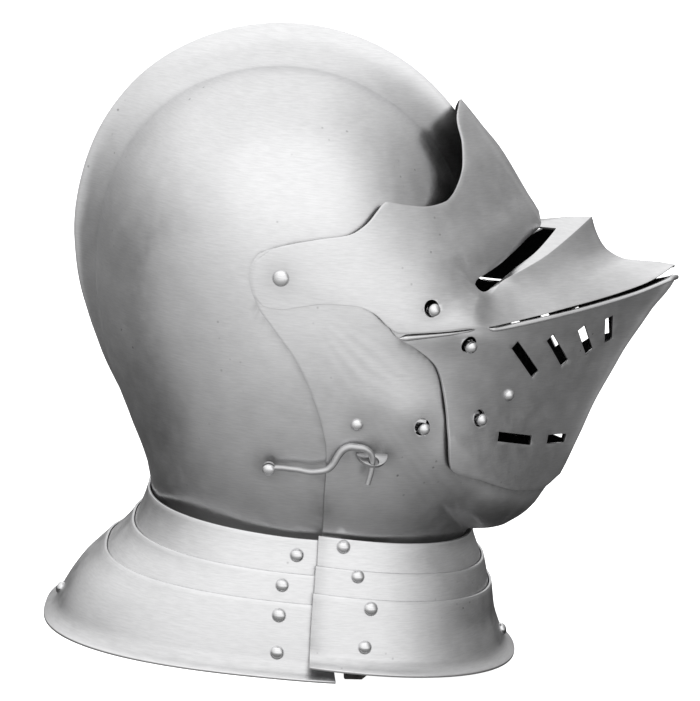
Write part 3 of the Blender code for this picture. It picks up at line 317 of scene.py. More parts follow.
def node(tree, kind, **inputs):
    made = tree.nodes.new(kind)
    for key, value in inputs.items():
        made.inputs[key.replace("_", " ")].default_value = value
    return made


def math_node(tree, operation, first, second):
    made = tree.nodes.new("ShaderNodeMath")
    made.operation = operation
    for k, value in enumerate((first, second)):
        if isinstance(value, (int, float)):
            made.inputs[k].default_value = value
        else:
            tree.links.new(value, made.inputs[k])
    return made.outputs[0]


def ranged(tree, value, low, high, to_low, to_high):
    made = node(tree, "ShaderNodeMapRange", From_Min=low, From_Max=high, To_Min=to_low, To_Max=to_high)
    tree.links.new(value, made.inputs["Value"])
    return made.outputs["Result"]


polish = bpy.data.node_groups.new("Polished plate", "ShaderNodeTree")
group_socket(polish, "Vector", "INPUT", "NodeSocketVector")
for name, value in (("Brightness", 0.6), ("Gloss change", 0.06), ("Base roughness", 0.3), ("Dirt", 0.0)):
    group_socket(polish, name, "INPUT", "NodeSocketFloat", value)
for name, kind in (("Colour", "Color"), ("Roughness", "Float"), ("Height", "Float")):
    group_socket(polish, name, "OUTPUT", "NodeSocket" + kind)
start = polish.nodes.new("NodeGroupInput")
end = polish.nodes.new("NodeGroupOutput")
stretch = node(polish, "ShaderNodeMapping", Scale=(160.0, 160.0, 1700.0))
polish.links.new(start.outputs["Vector"], stretch.inputs["Vector"])
scratches = node(polish, "ShaderNodeTexNoise", Scale=1.0, Detail=3.0, Roughness=0.6)
polish.links.new(stretch.outputs["Vector"], scratches.inputs["Vector"])
hammer = node(polish, "ShaderNodeTexNoise", Scale=38.0, Detail=1.5, Roughness=0.45)
clouds = node(polish, "ShaderNodeTexNoise", Scale=95.0, Detail=5.0, Roughness=0.65)
pits = node(polish, "ShaderNodeTexVoronoi", Scale=150.0)
pick = node(polish, "ShaderNodeTexNoise", Scale=24.0, Detail=2.0)
for texture in (hammer, clouds, pits, pick):
    polish.links.new(start.outputs["Vector"], texture.inputs["Vector"])
pit = ranged(polish, pits.outputs["Distance"], 0.04, 0.13, 1.0, 0.0)
where = ranged(polish, pick.outputs["Fac"], 0.60, 0.70, 0.0, 1.0)
pit_mask = math_node(polish, "MULTIPLY", pit, where)
cloud = ranged(polish, clouds.outputs["Fac"], 0.35, 0.70, 0.0, 1.0)
streak = ranged(polish, scratches.outputs["Fac"], 0.30, 0.70, 0.93, 1.05)
tone = math_node(polish, "MULTIPLY", start.outputs["Brightness"], streak)
tone = math_node(polish, "MULTIPLY", tone, ranged(polish, cloud, 0.0, 1.0, 0.97, 1.03))
tone = math_node(polish, "MULTIPLY", tone, ranged(polish, pit_mask, 0.0, 1.0, 1.0, 0.45))
# Painted shade from the attribute darkens the colour, a little unevenly by the clouds, and roughens the surface.
shade_amount = math_node(polish, "MULTIPLY", start.outputs["Dirt"], ranged(polish, cloud, 0.0, 1.0, 0.65, 1.15))
tone = math_node(polish, "MULTIPLY", tone, ranged(polish, shade_amount, 0.0, 1.0, 1.0, 0.22))
colour = polish.nodes.new("ShaderNodeCombineColor")
polish.links.new(tone, colour.inputs["Red"])
polish.links.new(tone, colour.inputs["Green"])
polish.links.new(math_node(polish, "MULTIPLY", tone, 1.008), colour.inputs["Blue"])
rough = ranged(polish, cloud, 0.0, 1.0, -1.0, 1.0)
rough = math_node(polish, "MULTIPLY", start.outputs["Gloss change"], rough)
rough = math_node(polish, "ADD", rough, start.outputs["Base roughness"])
rough = math_node(polish, "ADD", rough, math_node(polish, "MULTIPLY", shade_amount, 0.25))
height = math_node(polish, "MULTIPLY", scratches.outputs["Fac"], 0.00002)
height = math_node(polish, "ADD", height, math_node(polish, "MULTIPLY", hammer.outputs["Fac"], 0.00045))
height = math_node(polish, "SUBTRACT", height, math_node(polish, "MULTIPLY", pit_mask, 0.00012))
polish.links.new(colour.outputs["Color"], end.inputs["Colour"])
polish.links.new(rough, end.inputs["Roughness"])
polish.links.new(height, end.inputs["Height"])
print("steel group:", len(polish.nodes), "nodes")


# %% [markdown]
# ## Finishes
# The outside is bright steel. The inside was never polished, so it gets a dark oxide finish of the same
# group with other values, lighter on the collar as painted light. The strap is thick dark leather with a coarse
# grain.

# %% Finishes
def steel_finish(name, brightness, base_roughness, change, turn=(0.0, 0.0, 0.0), dirt=True):
    made = bpy.data.materials.new(name)
    made.use_nodes = True
    tree = made.node_tree
    shader = tree.nodes["Principled BSDF"]
    shader.inputs["Metallic"].default_value = 1.0
    place = tree.nodes.new("ShaderNodeTexCoord")
    turned = node(tree, "ShaderNodeMapping", Rotation=turn)
    tree.links.new(place.outputs["Object"], turned.inputs["Vector"])
    surface = tree.nodes.new("ShaderNodeGroup")
    surface.node_tree = polish
    surface.inputs["Brightness"].default_value = brightness
    surface.inputs["Base roughness"].default_value = base_roughness
    surface.inputs["Gloss change"].default_value = change
    tree.links.new(turned.outputs["Vector"], surface.inputs["Vector"])
    # Reads the painted shade attribute: darker where shade falls round fittings and along laps.
    if dirt:
        shade_attribute = tree.nodes.new("ShaderNodeAttribute")
        shade_attribute.attribute_name = "dirt"
        tree.links.new(shade_attribute.outputs["Fac"], surface.inputs["Dirt"])
    bump = node(tree, "ShaderNodeBump", Strength=0.55, Distance=1.0)
    tree.links.new(surface.outputs["Height"], bump.inputs["Height"])
    tree.links.new(surface.outputs["Colour"], shader.inputs["Base Color"])
    tree.links.new(surface.outputs["Roughness"], shader.inputs["Roughness"])
    tree.links.new(bump.outputs["Normal"], shader.inputs["Normal"])
    return made


bright_steel = steel_finish("bright_steel", 0.74, 0.33, 0.05)
collar_steel = steel_finish("collar_steel", 0.78, 0.34, 0.05)
rivet_steel = steel_finish("rivet_steel", 0.80, 0.24, 0.05, dirt=False)
wire_steel = steel_finish("wire_steel", 0.55, 0.34, 0.08, dirt=False)
inner_steel = steel_finish("inner_black_steel", 0.05, 0.65, 0.08, dirt=False)
# The collar's inside is a lighter grey than the other insides: painted light, so the gap above the collar and
# its reflection in the skull read less dark.
neck_painted_light_steel = steel_finish("inner_neck_steel", 0.36, 0.50, 0.08, dirt=False)

strap_leather = bpy.data.materials.new("strap_leather")
strap_leather.use_nodes = True
tree = strap_leather.node_tree
place = tree.nodes.new("ShaderNodeTexCoord")
grain = node(tree, "ShaderNodeTexVoronoi", Scale=900.0)
patches = node(tree, "ShaderNodeTexNoise", Scale=160.0, Detail=6.0, Roughness=0.7)
for texture in (grain, patches):
    tree.links.new(place.outputs["Object"], texture.inputs["Vector"])
ramp = tree.nodes.new("ShaderNodeValToRGB")
ramp.color_ramp.elements[0].color = (0.022, 0.020, 0.020, 1)
ramp.color_ramp.elements[1].color = (0.13, 0.12, 0.115, 1)
ramp.color_ramp.elements[0].position = 0.35
ramp.color_ramp.elements[1].position = 0.75
tree.links.new(patches.outputs["Fac"], ramp.inputs["Fac"])
tree.links.new(ramp.outputs["Color"], tree.nodes["Principled BSDF"].inputs["Base Color"])
tree.nodes["Principled BSDF"].inputs["Roughness"].default_value = 0.72
bump = node(tree, "ShaderNodeBump", Strength=0.8, Distance=0.0004)
tree.links.new(grain.outputs["Distance"], bump.inputs["Height"])
tree.links.new(bump.outputs["Normal"], tree.nodes["Principled BSDF"].inputs["Normal"])
print("finishes:", [m.name for m in bpy.data.materials if m.name.endswith(("steel", "leather"))])

# %% [markdown]
# ## Painted shade
# Painted shade is a number from 0 to 1 on each point of a plate, high where shade falls close to a
# fitting or a lap, fading over a few millimetres. The list holds where the photograph shows it, in the side
# view.

# %% Painted shade by place
# Painted shade round fittings: forward and up in hundredths of FACE_REACH, size in metres, strength. The hook's
# side only.
RIGHT_PAINTED_SHADE = (
    (1.4, -49.1, 0.0042, 0.75), (3.0, -47.8, 0.0030, 0.4),
    (22.2, -36.2, 0.0036, 0.45), (38.6, -36.0, 0.0056, 0.55),
    (23.5, -43.0, 0.0036, 0.60), (26.6, -43.0, 0.0042, 0.90), (30.2, -44.0, 0.0034, 0.80),
    (20.0, -44.4, 0.0034, 0.45), (15.6, -60.5, 0.0042, 0.6), (15.4, -57.0, 0.0032, 0.4),
    (27.0, -48.0, 0.0030, 0.45), (7.5, -49.6, 0.0020, 0.30), (12.0, -49.9, 0.0020, 0.30),
    (53.2, -34.9, 0.0040, 0.35), (60.4, -29.8, 0.0038, 0.3), (37.9, -5.6, 0.0044, 0.2),
)
BOTH_PAINTED_SHADE = ((0.0, 0.0, 0.0050, 0.25),)


# Painted shade from the spots near a place: the pivot on both sides, the fittings on the hook's side.
def right_side(forward, up, out_sign):
    worst = 0.0
    spots = BOTH_PAINTED_SHADE + (RIGHT_PAINTED_SHADE if out_sign < 0 else ())
    for f, u, size, strength in spots:
        f, u = face_share((f, u))
        away = math.hypot(forward - f, up - u) / size
        worst = max(worst, strength * math.exp(-0.5 * (away / 1.15) ** 2))
    return worst


# %% [markdown]
# ## Making a plate
# A plate starts as a sheet over half the head, laid out in rows and columns. Both halves are made
# at once and joined in the middle plane. Solidify gives the wall, inward, with the dark finish
# behind it, and a narrow bevel takes the knife edge off every rim, as a file would.

# %% Sheets and walls
def add_piece(name, data, finishes=()):
    made = bpy.data.objects.new(name, data)
    scene.collection.objects.link(made)
    for finish in finishes:
        data.materials.append(finish)
    return made


def bake(obj):
    """The evaluated shape as a plain mesh, with no modifier left on the piece."""
    graph = bpy.context.evaluated_depsgraph_get()
    mesh = bpy.data.meshes.new_from_object(obj.evaluated_get(graph))
    obj.modifiers.clear()
    old = obj.data
    obj.data = mesh
    if old.users == 0 and isinstance(old, bpy.types.Mesh):
        bpy.data.meshes.remove(old)
    mesh.name = obj.name
    return obj


FILED = 0.00022
EDGE_ANGLE = 38
SHARP_ANGLE = 40


def sharpen(mesh, degrees):
    mesh.set_sharp_from_angle(angle=math.radians(degrees))


def file_edges(obj, width, segments=2, angle=EDGE_ANGLE):
    """Takes the knife edge off, as a file would."""
    filed = obj.modifiers.new("Filed edges", "BEVEL")
    filed.width = width
    filed.segments = segments
    filed.limit_method = "ANGLE"
    filed.angle_limit = math.radians(angle)
    bake(obj)
    sharpen(obj.data, SHARP_ANGLE)
    print(obj.name, "faces", len(obj.data.polygons))


def fuse(obj, other, name, angle=45):
    """Joins another closed piece to this one, and takes the other away."""
    join = obj.modifiers.new(name, "BOOLEAN")
    join.operation = "UNION"
    join.object = other
    bake(obj)
    bpy.data.objects.remove(other)
    sharpen(obj.data, angle)


def finished(name, work, smooth=True):
    """The worked shape as a plain mesh."""
    if smooth:
        for face in work.faces:
            face.smooth = True
    mesh = bpy.data.meshes.new(name)
    work.to_mesh(mesh)
    work.free()
    return mesh


def both_halves(name, rows, holes=(), tip=None, dirt=None):
    """Sheet over both sides of the head, from the right side's rows of points."""
    work = bmesh.new()
    for side in (1, -1):
        made = [[work.verts.new((p[0] * side, p[1], p[2])) for p in row] for row in rows]
        for i in range(len(rows) - 1):
            for j in range(len(rows[0]) - 1):
                if (i, j) not in holes:
                    work.faces.new((made[i][j], made[i][j + 1], made[i + 1][j + 1], made[i + 1][j]))
        if tip is not None:
            centre = work.verts.new((tip[0] * side, tip[1], tip[2]))
            for i in range(len(rows) - 1):
                work.faces.new((centre, made[i][0], made[i + 1][0]))
    bmesh.ops.remove_doubles(work, verts=work.verts, dist=0.00002)
    bmesh.ops.dissolve_degenerate(work, edges=work.edges, dist=0.00002)
    bmesh.ops.recalc_face_normals(work, faces=work.faces)
    middle = Vector((0, PIVOT_Y, PIVOT_HEIGHT))
    turn = sum(f.normal.dot(f.calc_center_median() - middle) * f.calc_area() for f in work.faces)
    if turn < 0:
        bmesh.ops.reverse_faces(work, faces=work.faces)
    # Painted shade on each point: the spots near fittings, and the plate's own shade rule if one is given.
    layer = work.verts.layers.float.new("dirt")
    for vert in work.verts:
        forward, up = PIVOT_Y - vert.co.y, vert.co.z - PIVOT_HEIGHT
        value = right_side(forward, up, vert.co.x)
        if dirt:
            value = max(value, dirt(forward, up))
        vert[layer] = value
    return finished(name, work)


def wall(obj, cutters=()):
    """Gives a sheet its wall, its holes and its filed edges."""
    solid = obj.modifiers.new("Wall", "SOLIDIFY")
    solid.thickness = WALL
    solid.offset = -1.0
    solid.use_even_offset = True
    solid.material_offset = 1
    for cutter in cutters:
        cut = obj.modifiers.new("Hole", "BOOLEAN")
        cut.operation = "DIFFERENCE"
        cut.solver = "EXACT"
        cut.object = cutter
    bake(obj)
    for cutter in cutters:
        bpy.data.objects.remove(cutter)
    file_edges(obj, FILED)


def box_cutter(name, place, length, width, height):
    work = bmesh.new()
    bmesh.ops.create_cube(work, size=1.0)
    bmesh.ops.scale(work, vec=(length, width, height), verts=work.verts)
    mesh = finished(name, work, smooth=False)
    mesh.transform(place)
    if place.determinant() < 0:
        mesh.flip_normals()
    return add_piece(name, mesh)


def round_cutter(name, place, radius, height):
    work = bmesh.new()
    bmesh.ops.create_cone(work, cap_ends=True, segments=40, radius1=radius, radius2=radius, depth=height)
    mesh = finished(name, work, smooth=False)
    mesh.transform(place)
    return add_piece(name, mesh)


def frame_at(place, outward, along_plate=None):
    """Turn that takes local +Z to the outward direction, at the place."""
    turn = outward.to_track_quat("Z", "Y").to_matrix()
    if along_plate is not None:
        x = (along_plate - outward * along_plate.dot(outward)).normalized()
        turn = Matrix((x, outward.cross(x), outward)).transposed()
    return Matrix.Translation(place) @ turn.to_4x4()


def surface_frame(law, at, along_at=None):
    forward, up = face_share(at)
    step = 0.001
    here = spot(forward, up, law(forward, up))
    ahead = spot(forward + step, up, law(forward + step, up)) - here
    above = spot(forward, up + step, law(forward, up + step)) - here
    outward = ahead.cross(above).normalized()
    if outward.x > 0:
        outward.negate()
    direction = None
    if along_at is not None:
        f2, u2 = face_share(along_at)
        direction = (spot(f2, u2, law(f2, u2)) - here).normalized()
    return frame_at(here, outward, direction)


FLIP = Matrix.Diagonal((-1, 1, 1, 1))


# %% [markdown]
# ## The skull
# The skull is beaten from one sheet: a round bowl with a tall hollow comb along the middle, drawn
# in to the neck behind. It is laid out as a fan around the pivot, because its outline is known by
# angle there. The part that hides under the face plates ends in a plain edge.

# %% Skull
BOWL_STEPS = 26
COMB_STEPS = 9
FAN_STEPS = BOWL_STEPS + COMB_STEPS
FACE_END, NECK_START = 24, 248.3


def fan_row(angle):
    direction = math.radians(angle)
    if FACE_END <= angle <= NECK_START:
        ridge, crease, _ = bowl_reach(angle)
        radii = [crease * (1 - (1 - k / BOWL_STEPS) ** 1.6) for k in range(1, BOWL_STEPS + 1)]
        radii += [crease + (ridge - crease) * (k / COMB_STEPS) for k in range(1, COMB_STEPS + 1)]
        # The comb dies away at the nape, so the steps even out there to meet the plain rows.
        plain = soft_step(200, 240, angle)
        even = [ridge * (1 - (1 - k / FAN_STEPS) ** 1.4) for k in range(1, FAN_STEPS + 1)]
        radii = [a + (b - a) * plain for a, b in zip(radii, even)]
    else:
        if angle > NECK_START:
            end = -NECK_DROP / math.sin(direction)
        else:
            end = ease(SKULL_EDGE, angle, 1) * FACE_REACH
        radii = [end * (1 - (1 - k / FAN_STEPS) ** 1.4) for k in range(1, FAN_STEPS + 1)]
    row = []
    for number, radius in enumerate(radii):
        forward, up = radius * math.cos(direction), radius * math.sin(direction)
        if FACE_END <= angle <= NECK_START:
            law = nape_out if angle > 195 and radius <= crease else skull_out
            out = 0.0 if number == len(radii) - 1 else law(radius, angle)
        elif -20 < angle < FACE_END:
            share = soft_step(-20, FACE_END, angle)
            out = face_out(forward, up, 0) * (1 - share) + skull_out(radius, FACE_END) * share
        elif angle > NECK_START:
            out = nape_out(radius, angle)
        else:
            out = face_out(forward, up, 0)
        row.append(spot(forward, up, out))
    return row


def skull_painted_shade(forward, up):
    """Painted shade next to the bevor's lap and along the collar's top edge."""
    away = 1.0
    points = in_metres(BEVOR_REAR[3:])
    for k in range(0, 41):
        f, u = along(points, k / 40)
        away = min(away, math.hypot(forward - f, up - u))
    lap = 0.45 * math.exp(-0.5 * (away / 0.0012) ** 2)
    top = 0.1370 - 0.0045 * max(0.0, (0.02 - forward) / 0.078)
    low = 0.22 * math.exp(-0.5 * ((-up - top + 0.0015) / 0.0030) ** 2)
    return max(lap, low)


angles = [-70 + 5 * k for k in range(18)] + [22, 24] + [24 + 224.3 * k / 86 for k in range(1, 87)]
angles += [248.3 + 41.7 * (k / 14) for k in range(1, 14)]
rows = [fan_row(a) for a in angles]
rows.append(list(rows[0]))
sheet = both_halves("skull_plate", rows, tip=spot(0, 0, HALF_WIDTH), dirt=skull_painted_shade)
skull = add_piece("skull_plate", sheet, (bright_steel, inner_steel))
wall(skull)

# %% [markdown]
# ## The bevor
# The chin plate is bounded by four lines that can all be seen or guessed: its hidden top edge, its
# rear lap over the skull, the chin in the middle plane, and the edge inside the collar. A patch
# between four lines fills them evenly, and the form gives the distance out.

# %% Bevor
def median_point(angle, layer):
    reach = face_reach(angle, layer)
    return reach * math.cos(math.radians(angle)), reach * math.sin(math.radians(angle))


def bevor_rows(columns, lines):
    top_points = in_metres(BEVOR_TOP)
    rear_points = in_metres(BEVOR_REAR)
    top_points[-1] = median_point(BEVOR_FRONT[0][1], 1)
    rear_end = (rear_points[-1][0], -NECK_DROP)
    rear_points[-1] = rear_end
    front_end = median_point(BEVOR_FRONT[-1][1], 1)
    rows = []
    for i in range(columns + 1):
        u = i / columns
        row = []
        bottom = mix(rear_end, front_end, math.sin(u * math.pi / 2) * 0.35 + u * 0.65)
        for j in range(lines + 1):
            v = j / lines
            ruled = mix(along(top_points, u), bottom, v)
            sides = mix(along(rear_points, v), median_point(ease(BEVOR_FRONT, v, 1), 1), u)
            corners = mix(mix(top_points[0], top_points[-1], u), mix(rear_end, front_end, u), v)
            f, z = (a + b - c for a, b, c in zip(ruled, sides, corners))
            row.append(spot(f, z, 0.0 if i == columns else bevor_out(f, z)))
        rows.append(row)
    return rows


PEG_HOLE = 0.0044
BEVOR_PEG_AT = (38.6, -36.3)
BEVOR_LEAF_AT = (22.2, -36.2)


# Painted shadow round the lug and painted shade round the bevor's fittings: place, size in metres, strength.
BEVOR_SHADE_SPOTS = (((23.5, -42.6), 0.0020, 0.8), ((26.8, -42.4), 0.0026, 0.95), ((30.2, -43.6), 0.0024, 0.9),
         ((22.2, -36.4), 0.0032, 0.55), ((38.0, -36.0), 0.0044, 0.75), ((15.9, -60.5), 0.0050, 0.6))


# Painted shade along the collar's top edge, along the ventail's rear edge and round the spots above.
def bevor_painted_shade(forward, up):
    low = 0.30 * math.exp(-0.5 * ((-up - 0.1372) / 0.0035) ** 2)
    rear = in_metres(VENTAIL_REAR)
    away = min(math.hypot(forward - f, up - u) for f, u in (along(rear, k / 30) for k in range(31)))
    spots = 0.0
    for at, wide, strength in BEVOR_SHADE_SPOTS:
        f, u = face_share(at)
        spots = max(spots, strength * math.exp(-0.5 * (math.hypot(forward - f, up - u) / wide) ** 2))
    return max(low, spots, 0.55 * math.exp(-0.5 * (away / 0.0022) ** 2))


VENTAIL_REAR = ((31.8, -14.6), (35.5, -16.4), (41.0, -21.4), (43.8, -29.2), (45.6, -38.2), (47.2, -47.4),
                (55.5, -51.2), (64.2, -55.0), (72.5, -57.2), (77.0, -56.6))
bevor = add_piece("bevor_plate", both_halves("bevor_plate", bevor_rows(96, 84), dirt=bevor_painted_shade),
                  (bright_steel, inner_steel))
hole = round_cutter("bevor_peg_hole", surface_frame(bevor_out, BEVOR_PEG_AT), PEG_HOLE, 0.008)
wall(bevor, [hole])

# %% [markdown]
# ## The ventail
# The lower face plate is a wedge with a keel. Its columns run from the pivot arm to the keel, each
# between a point on the top edge and one on the bottom edge. Four slanting breath slots and two
# level ones a side are cut square through it, and its top edge carries a rolled rim in front.

# %% Ventail
BREATH_PEG_AT = (53.2, -34.9)
VENTAIL_PEG_AT = (48.3, -15.2)
VISOR_PEG_AT = (37.9, -5.6)
BREATH_LEAF_AT = (60.4, -29.8)
BREATH_SLOTS = (
    (60.4, -15.9, 66.9, -24.8), (69.6, -14.6, 74.6, -22.5), (77.6, -12.6, 80.9, -19.8),
    (84.9, -10.1, 85.7, -17.0), (58.8, -40.3, 68.0, -43.0), (72.4, -43.6, 77.4, -44.0),
)
KEEL_TOP = 0.5
KEEL_BOTTOM = -35.1


def keel_point(share):
    angle = KEEL_TOP + (KEEL_BOTTOM - KEEL_TOP) * share
    reach = ease(KEEL_FORM, angle, 1) * FACE_REACH
    return reach * math.cos(math.radians(angle)), reach * math.sin(math.radians(angle))


def ventail_rows(per_column, lines):
    table = []
    for j in range(lines + 1):
        share = j / lines
        line = []
        for number, column in enumerate(VENTAIL_COLUMNS):
            place = mix(face_share(column[:2]), face_share(column[2:]), share)
            if number == 0:
                turn = math.pi * (0.75 + 0.5 * share)
                place = (0.079 * FACE_REACH * math.cos(turn), 0.079 * FACE_REACH * math.sin(turn))
            line.append(place)
        line.append(keel_point(share))
        table.append(line)
    last = len(VENTAIL_COLUMNS)
    rows = []
    for i in range(last * per_column + 1):
        number = i / per_column
        row = []
        for j in range(lines + 1):
            if i == last * per_column:
                f, z = table[j][-1]
                row.append(spot(f, z, 0.0))
            else:
                f, z = by_number(table[j], number)
                row.append(spot(f, z, ventail_out(f, z)))
        rows.append(row)
    return rows


holes = []
for number, slot_line in enumerate(BREATH_SLOTS, start=1):
    place = surface_frame(ventail_out, mix(slot_line[:2], slot_line[2:], 0.5), slot_line[2:])
    f1, u1 = face_share(slot_line[:2])
    f2, u2 = face_share(slot_line[2:])
    length = (spot(f1, u1, ventail_out(f1, u1)) - spot(f2, u2, ventail_out(f2, u2))).length
    for side in (place, FLIP @ place):
        holes.append(box_cutter("breath_slot", side, length, 0.0050, 0.020))
holes.append(round_cutter("breath_peg_hole", surface_frame(ventail_out, BREATH_PEG_AT), PEG_HOLE, 0.008))
holes.append(round_cutter("ventail_peg_hole", surface_frame(ventail_out, VENTAIL_PEG_AT), PEG_HOLE, 0.008))
holes.append(round_cutter("visor_peg_well", surface_frame(ventail_out, VISOR_PEG_AT), PEG_HOLE, 0.008))
sheet_rows = ventail_rows(6, 40)
ventail = add_piece("ventail_plate", both_halves("ventail_plate", sheet_rows), (bright_steel, inner_steel))
wall(ventail, holes)

# %% [markdown]
# ## The visor
# The visor's arms and brow follow the form. In front, listed lines run from the cheek to the
# keel: the top and the foot of the sight, the crest under it, and the beak's edge. Faces between
# the sight's two lines are left out, which makes the slit, and the beak's top is scooped by degrees.

# %% Visor
ARM_COLUMNS = 11
BROW_ROWS = 4
# How finely the arm, the brow, the beak and the front are divided, and how far the sight is open.
ARM_STEPS, BROW_STEPS, BEAK_STEPS, FRONT_STEPS, SIGHT_STEPS = 45, 16, 24, 48, 40
SIGHT_END = 0.45
BEAK_GAP = 0.0011


def visor_shares():
    shares = [0.42 * k / BROW_ROWS for k in range(BROW_ROWS + 1)] + [0.50, 0.58]
    return shares + [0.58 + 0.42 * k / 5 for k in range(1, 6)]


def front_point(number, line):
    """Place in front of the arm: number 0 to 6 across, and the same lines downward."""
    top_points = in_metres(VISOR_TOP)
    sight_top = by_number(in_metres(SIGHT_TOP), number)
    sight_low = by_number(in_metres(SIGHT_LOW), number)
    crest = by_number(in_metres(CREST), number)
    beak = by_number(in_metres(BEAK_EDGE), number)
    beak = (beak[0], beak[1] + BEAK_GAP * soft_step(0.5, 3.0, number), beak[2])
    if number < SIGHT_END:
        closing = math.sqrt(1 - (1 - number / SIGHT_END) ** 2)
        middle = mix(sight_top, sight_low, 0.5)
        sight_top, sight_low = mix(middle, sight_top, closing), mix(middle, sight_low, closing)
    if line <= BROW_ROWS:
        v = line / BROW_ROWS
        if number >= 6:
            if v >= 1:
                return spot(sight_top[0], sight_top[1], 0.0)
            f, z = median_point(44.9 + (10.5 - 44.9) * v, 3)
            return spot(f, z, 0.0)
        f, z = mix(along(top_points, 0.66 + 0.34 * number / 6), sight_top[:2], v)
        return spot(f, z, visor_out(f, z))
    if line <= BROW_ROWS + 1:
        start = (sight_top[0], sight_top[1], visor_out(*sight_top[:2]) if number < 6 else 0.0)
        f, z, x = mix(start, sight_low, line - BROW_ROWS)
    elif line <= BROW_ROWS + 2:
        f, z, x = mix(sight_low, crest, line - BROW_ROWS - 1)
    else:
        way = line - BROW_ROWS - 2
        rows = [(k, a, b) for k, (a, b) in enumerate(BEAK_SCOOP)]
        forward_share, down_share = ease(rows, way, 1), ease(rows, way, 2)
        scoop = ease(list(enumerate(SCOOP_BY_LINE)), number, 1)
        f = crest[0] + (beak[0] - crest[0]) * forward_share
        z = crest[1] + (beak[1] - crest[1]) * (forward_share + scoop * (down_share - forward_share))
        x = crest[2] + (beak[2] - crest[2]) * forward_share
    on_form = 1 - soft_step(0, 2.5, number)
    return spot(f, z, x + (visor_out(f, z) - x) * on_form if on_form > 0 else x)


def arm_point(column, line):
    """Place on the arm, with the column from 0 at the lobe and the line from 0 at the top edge."""
    top_points = in_metres(VISOR_TOP)
    bottom_points = in_metres(VISOR_BOTTOM)
    u = column / ARM_COLUMNS
    shares = [(k, s) for k, s in enumerate(visor_shares())]
    share = ease(shares, line, 1)
    straight = mix(along(top_points, u * 0.66), along(bottom_points, u), share)
    middle = mix((-0.01, 0), face_share(SIGHT_TOP[0])[:2], u)
    if share < 0.45:
        on_axis = mix(along(top_points, u * 0.66), middle, share / 0.45)
    else:
        on_axis = mix(middle, along(bottom_points, u), (share - 0.45) / 0.55)
    f, z = mix(straight, on_axis, 2 * share * (1 - share) * u * u)
    if column < 1:
        lobe = along(in_metres(VISOR_LOBE), share)
        f, z = mix(lobe, (f, z), column) if column > 0 else lobe
    return spot(f, z, visor_out(f, z))


def visor_rows():
    lines = [BROW_ROWS * k / BROW_STEPS for k in range(BROW_STEPS + 1)] + [4.25, 4.5, 4.75, 5.0, 5.34, 5.67, 6.0]
    lines += [6 + 5 * k / BEAK_STEPS for k in range(1, BEAK_STEPS + 1)]
    rows = [[arm_point(ARM_COLUMNS * i / ARM_STEPS, line) for line in lines] for i in range(ARM_STEPS)]
    rows += [[front_point(6 * i / FRONT_STEPS, line) for line in lines] for i in range(FRONT_STEPS + 1)]
    left_out = {(ARM_STEPS + i, BROW_STEPS + j) for i in range(SIGHT_STEPS) for j in range(4)}
    return rows, left_out


rows, left_out = visor_rows()
visor = add_piece("visor_plate", both_halves("visor_plate", rows, left_out), (bright_steel, inner_steel))
wall(visor, [round_cutter("visor_peg_hole", surface_frame(visor_out, VISOR_PEG_AT), PEG_HOLE, 0.008)])

# %% [markdown]
# ## The collar
# Six overlapping plates close the neck, three behind on the skull and three in front on the bevor.
# Each is a band swept round the neck: its section flares down, and the two lowest end in a flat
# turned-out rim that the helmet stands on.

# %% Collar
COLLAR_TOP_BACK = 0.1325
COLLAR_TOP_SIDE = 0.1370
COLLAR_TOP_FRONT = 0.1404
COLLAR_TOP_FRONT_SIDE = 0.1335
COLLAR_HALF_WIDTH = 0.0790
COLLAR_BACK_REACH = 0.0792
COLLAR_FRONT_REACH = 0.0902
COLLAR_BACK_POWER = 2.6
COLLAR_FRONT_POWER = 2.12
COLLAR_SPLIT = 0.0310
COLLAR_LAP = 0.0120
FRONT_RIM_RISE = 0.0080
FLANGE_HEIGHT = 0.0075
FLANGE_OUT = 0.0045
COLLAR_PROFILE = (
    (-0.15, -0.0010, -0.0010, -0.0008), (0.0, 0.0, 0.0, 0.0), (0.25, 0.0050, 0.0042, 0.0060),
    (0.46, 0.0165, 0.0080, 0.0095), (0.66, 0.0290, 0.0112, 0.0122), (0.89, 0.0380, 0.0146, 0.0182),
    (1.0, 0.0405, 0.0160, 0.0205),
)
# Name, layer, and the shares of the way down where the plate starts and ends.
REAR_LAMES = (("rear_lame_1", 0, 0.0, 0.40), ("rear_lame_2", 1, 0.25, 0.60), ("rear_lame_3", 2, 0.455, 1.0))
FRONT_LAMES = (("front_lame_1", 1, 0.0, 0.275), ("front_lame_2", 2, 0.225, 0.495),
               ("front_lame_3", 3, 0.43, 1.0))


def collar_point(share, turn, layer, offset=0.0):
    back, side, front = (ease(COLLAR_PROFILE, share, k) for k in (1, 2, 3))
    cosine, sine = math.cos(math.radians(turn)), math.sin(math.radians(turn))
    outside = layer * LAYER + offset
    if turn <= 90:
        reach, power = COLLAR_BACK_REACH + back + outside, COLLAR_BACK_POWER
    else:
        reach, power = COLLAR_FRONT_REACH + front + outside, COLLAR_FRONT_POWER
    half_width = COLLAR_HALF_WIDTH + side + outside
    along_head = math.copysign(abs(cosine) ** (2 / power), cosine)
    return NECK_MIDDLE - reach * along_head, half_width * max(sine, 0.0) ** (2 / power)


def rear_height(share, turn):
    level = COLLAR_TOP_SIDE + (COLLAR_TOP_BACK - COLLAR_TOP_SIDE) * max(math.cos(math.radians(turn)), 0.0)
    return -(level + share * (PIVOT_HEIGHT - level))


def front_height(share, turn):
    ahead = max(-math.cos(math.radians(turn)), 0.0)
    top = COLLAR_TOP_FRONT_SIDE + (COLLAR_TOP_FRONT - COLLAR_TOP_FRONT_SIDE) * ahead
    low = PIVOT_HEIGHT - FRONT_RIM_RISE * (1 - ahead)
    return -(top + share * (low - top))


def turn_at(forward, share, layer):
    low, high = 0.0, 180.0
    for _ in range(40):
        middle = (low + high) / 2
        if collar_point(share, middle, layer)[0] < forward:
            low = middle
        else:
            high = middle
    return (low + high) / 2


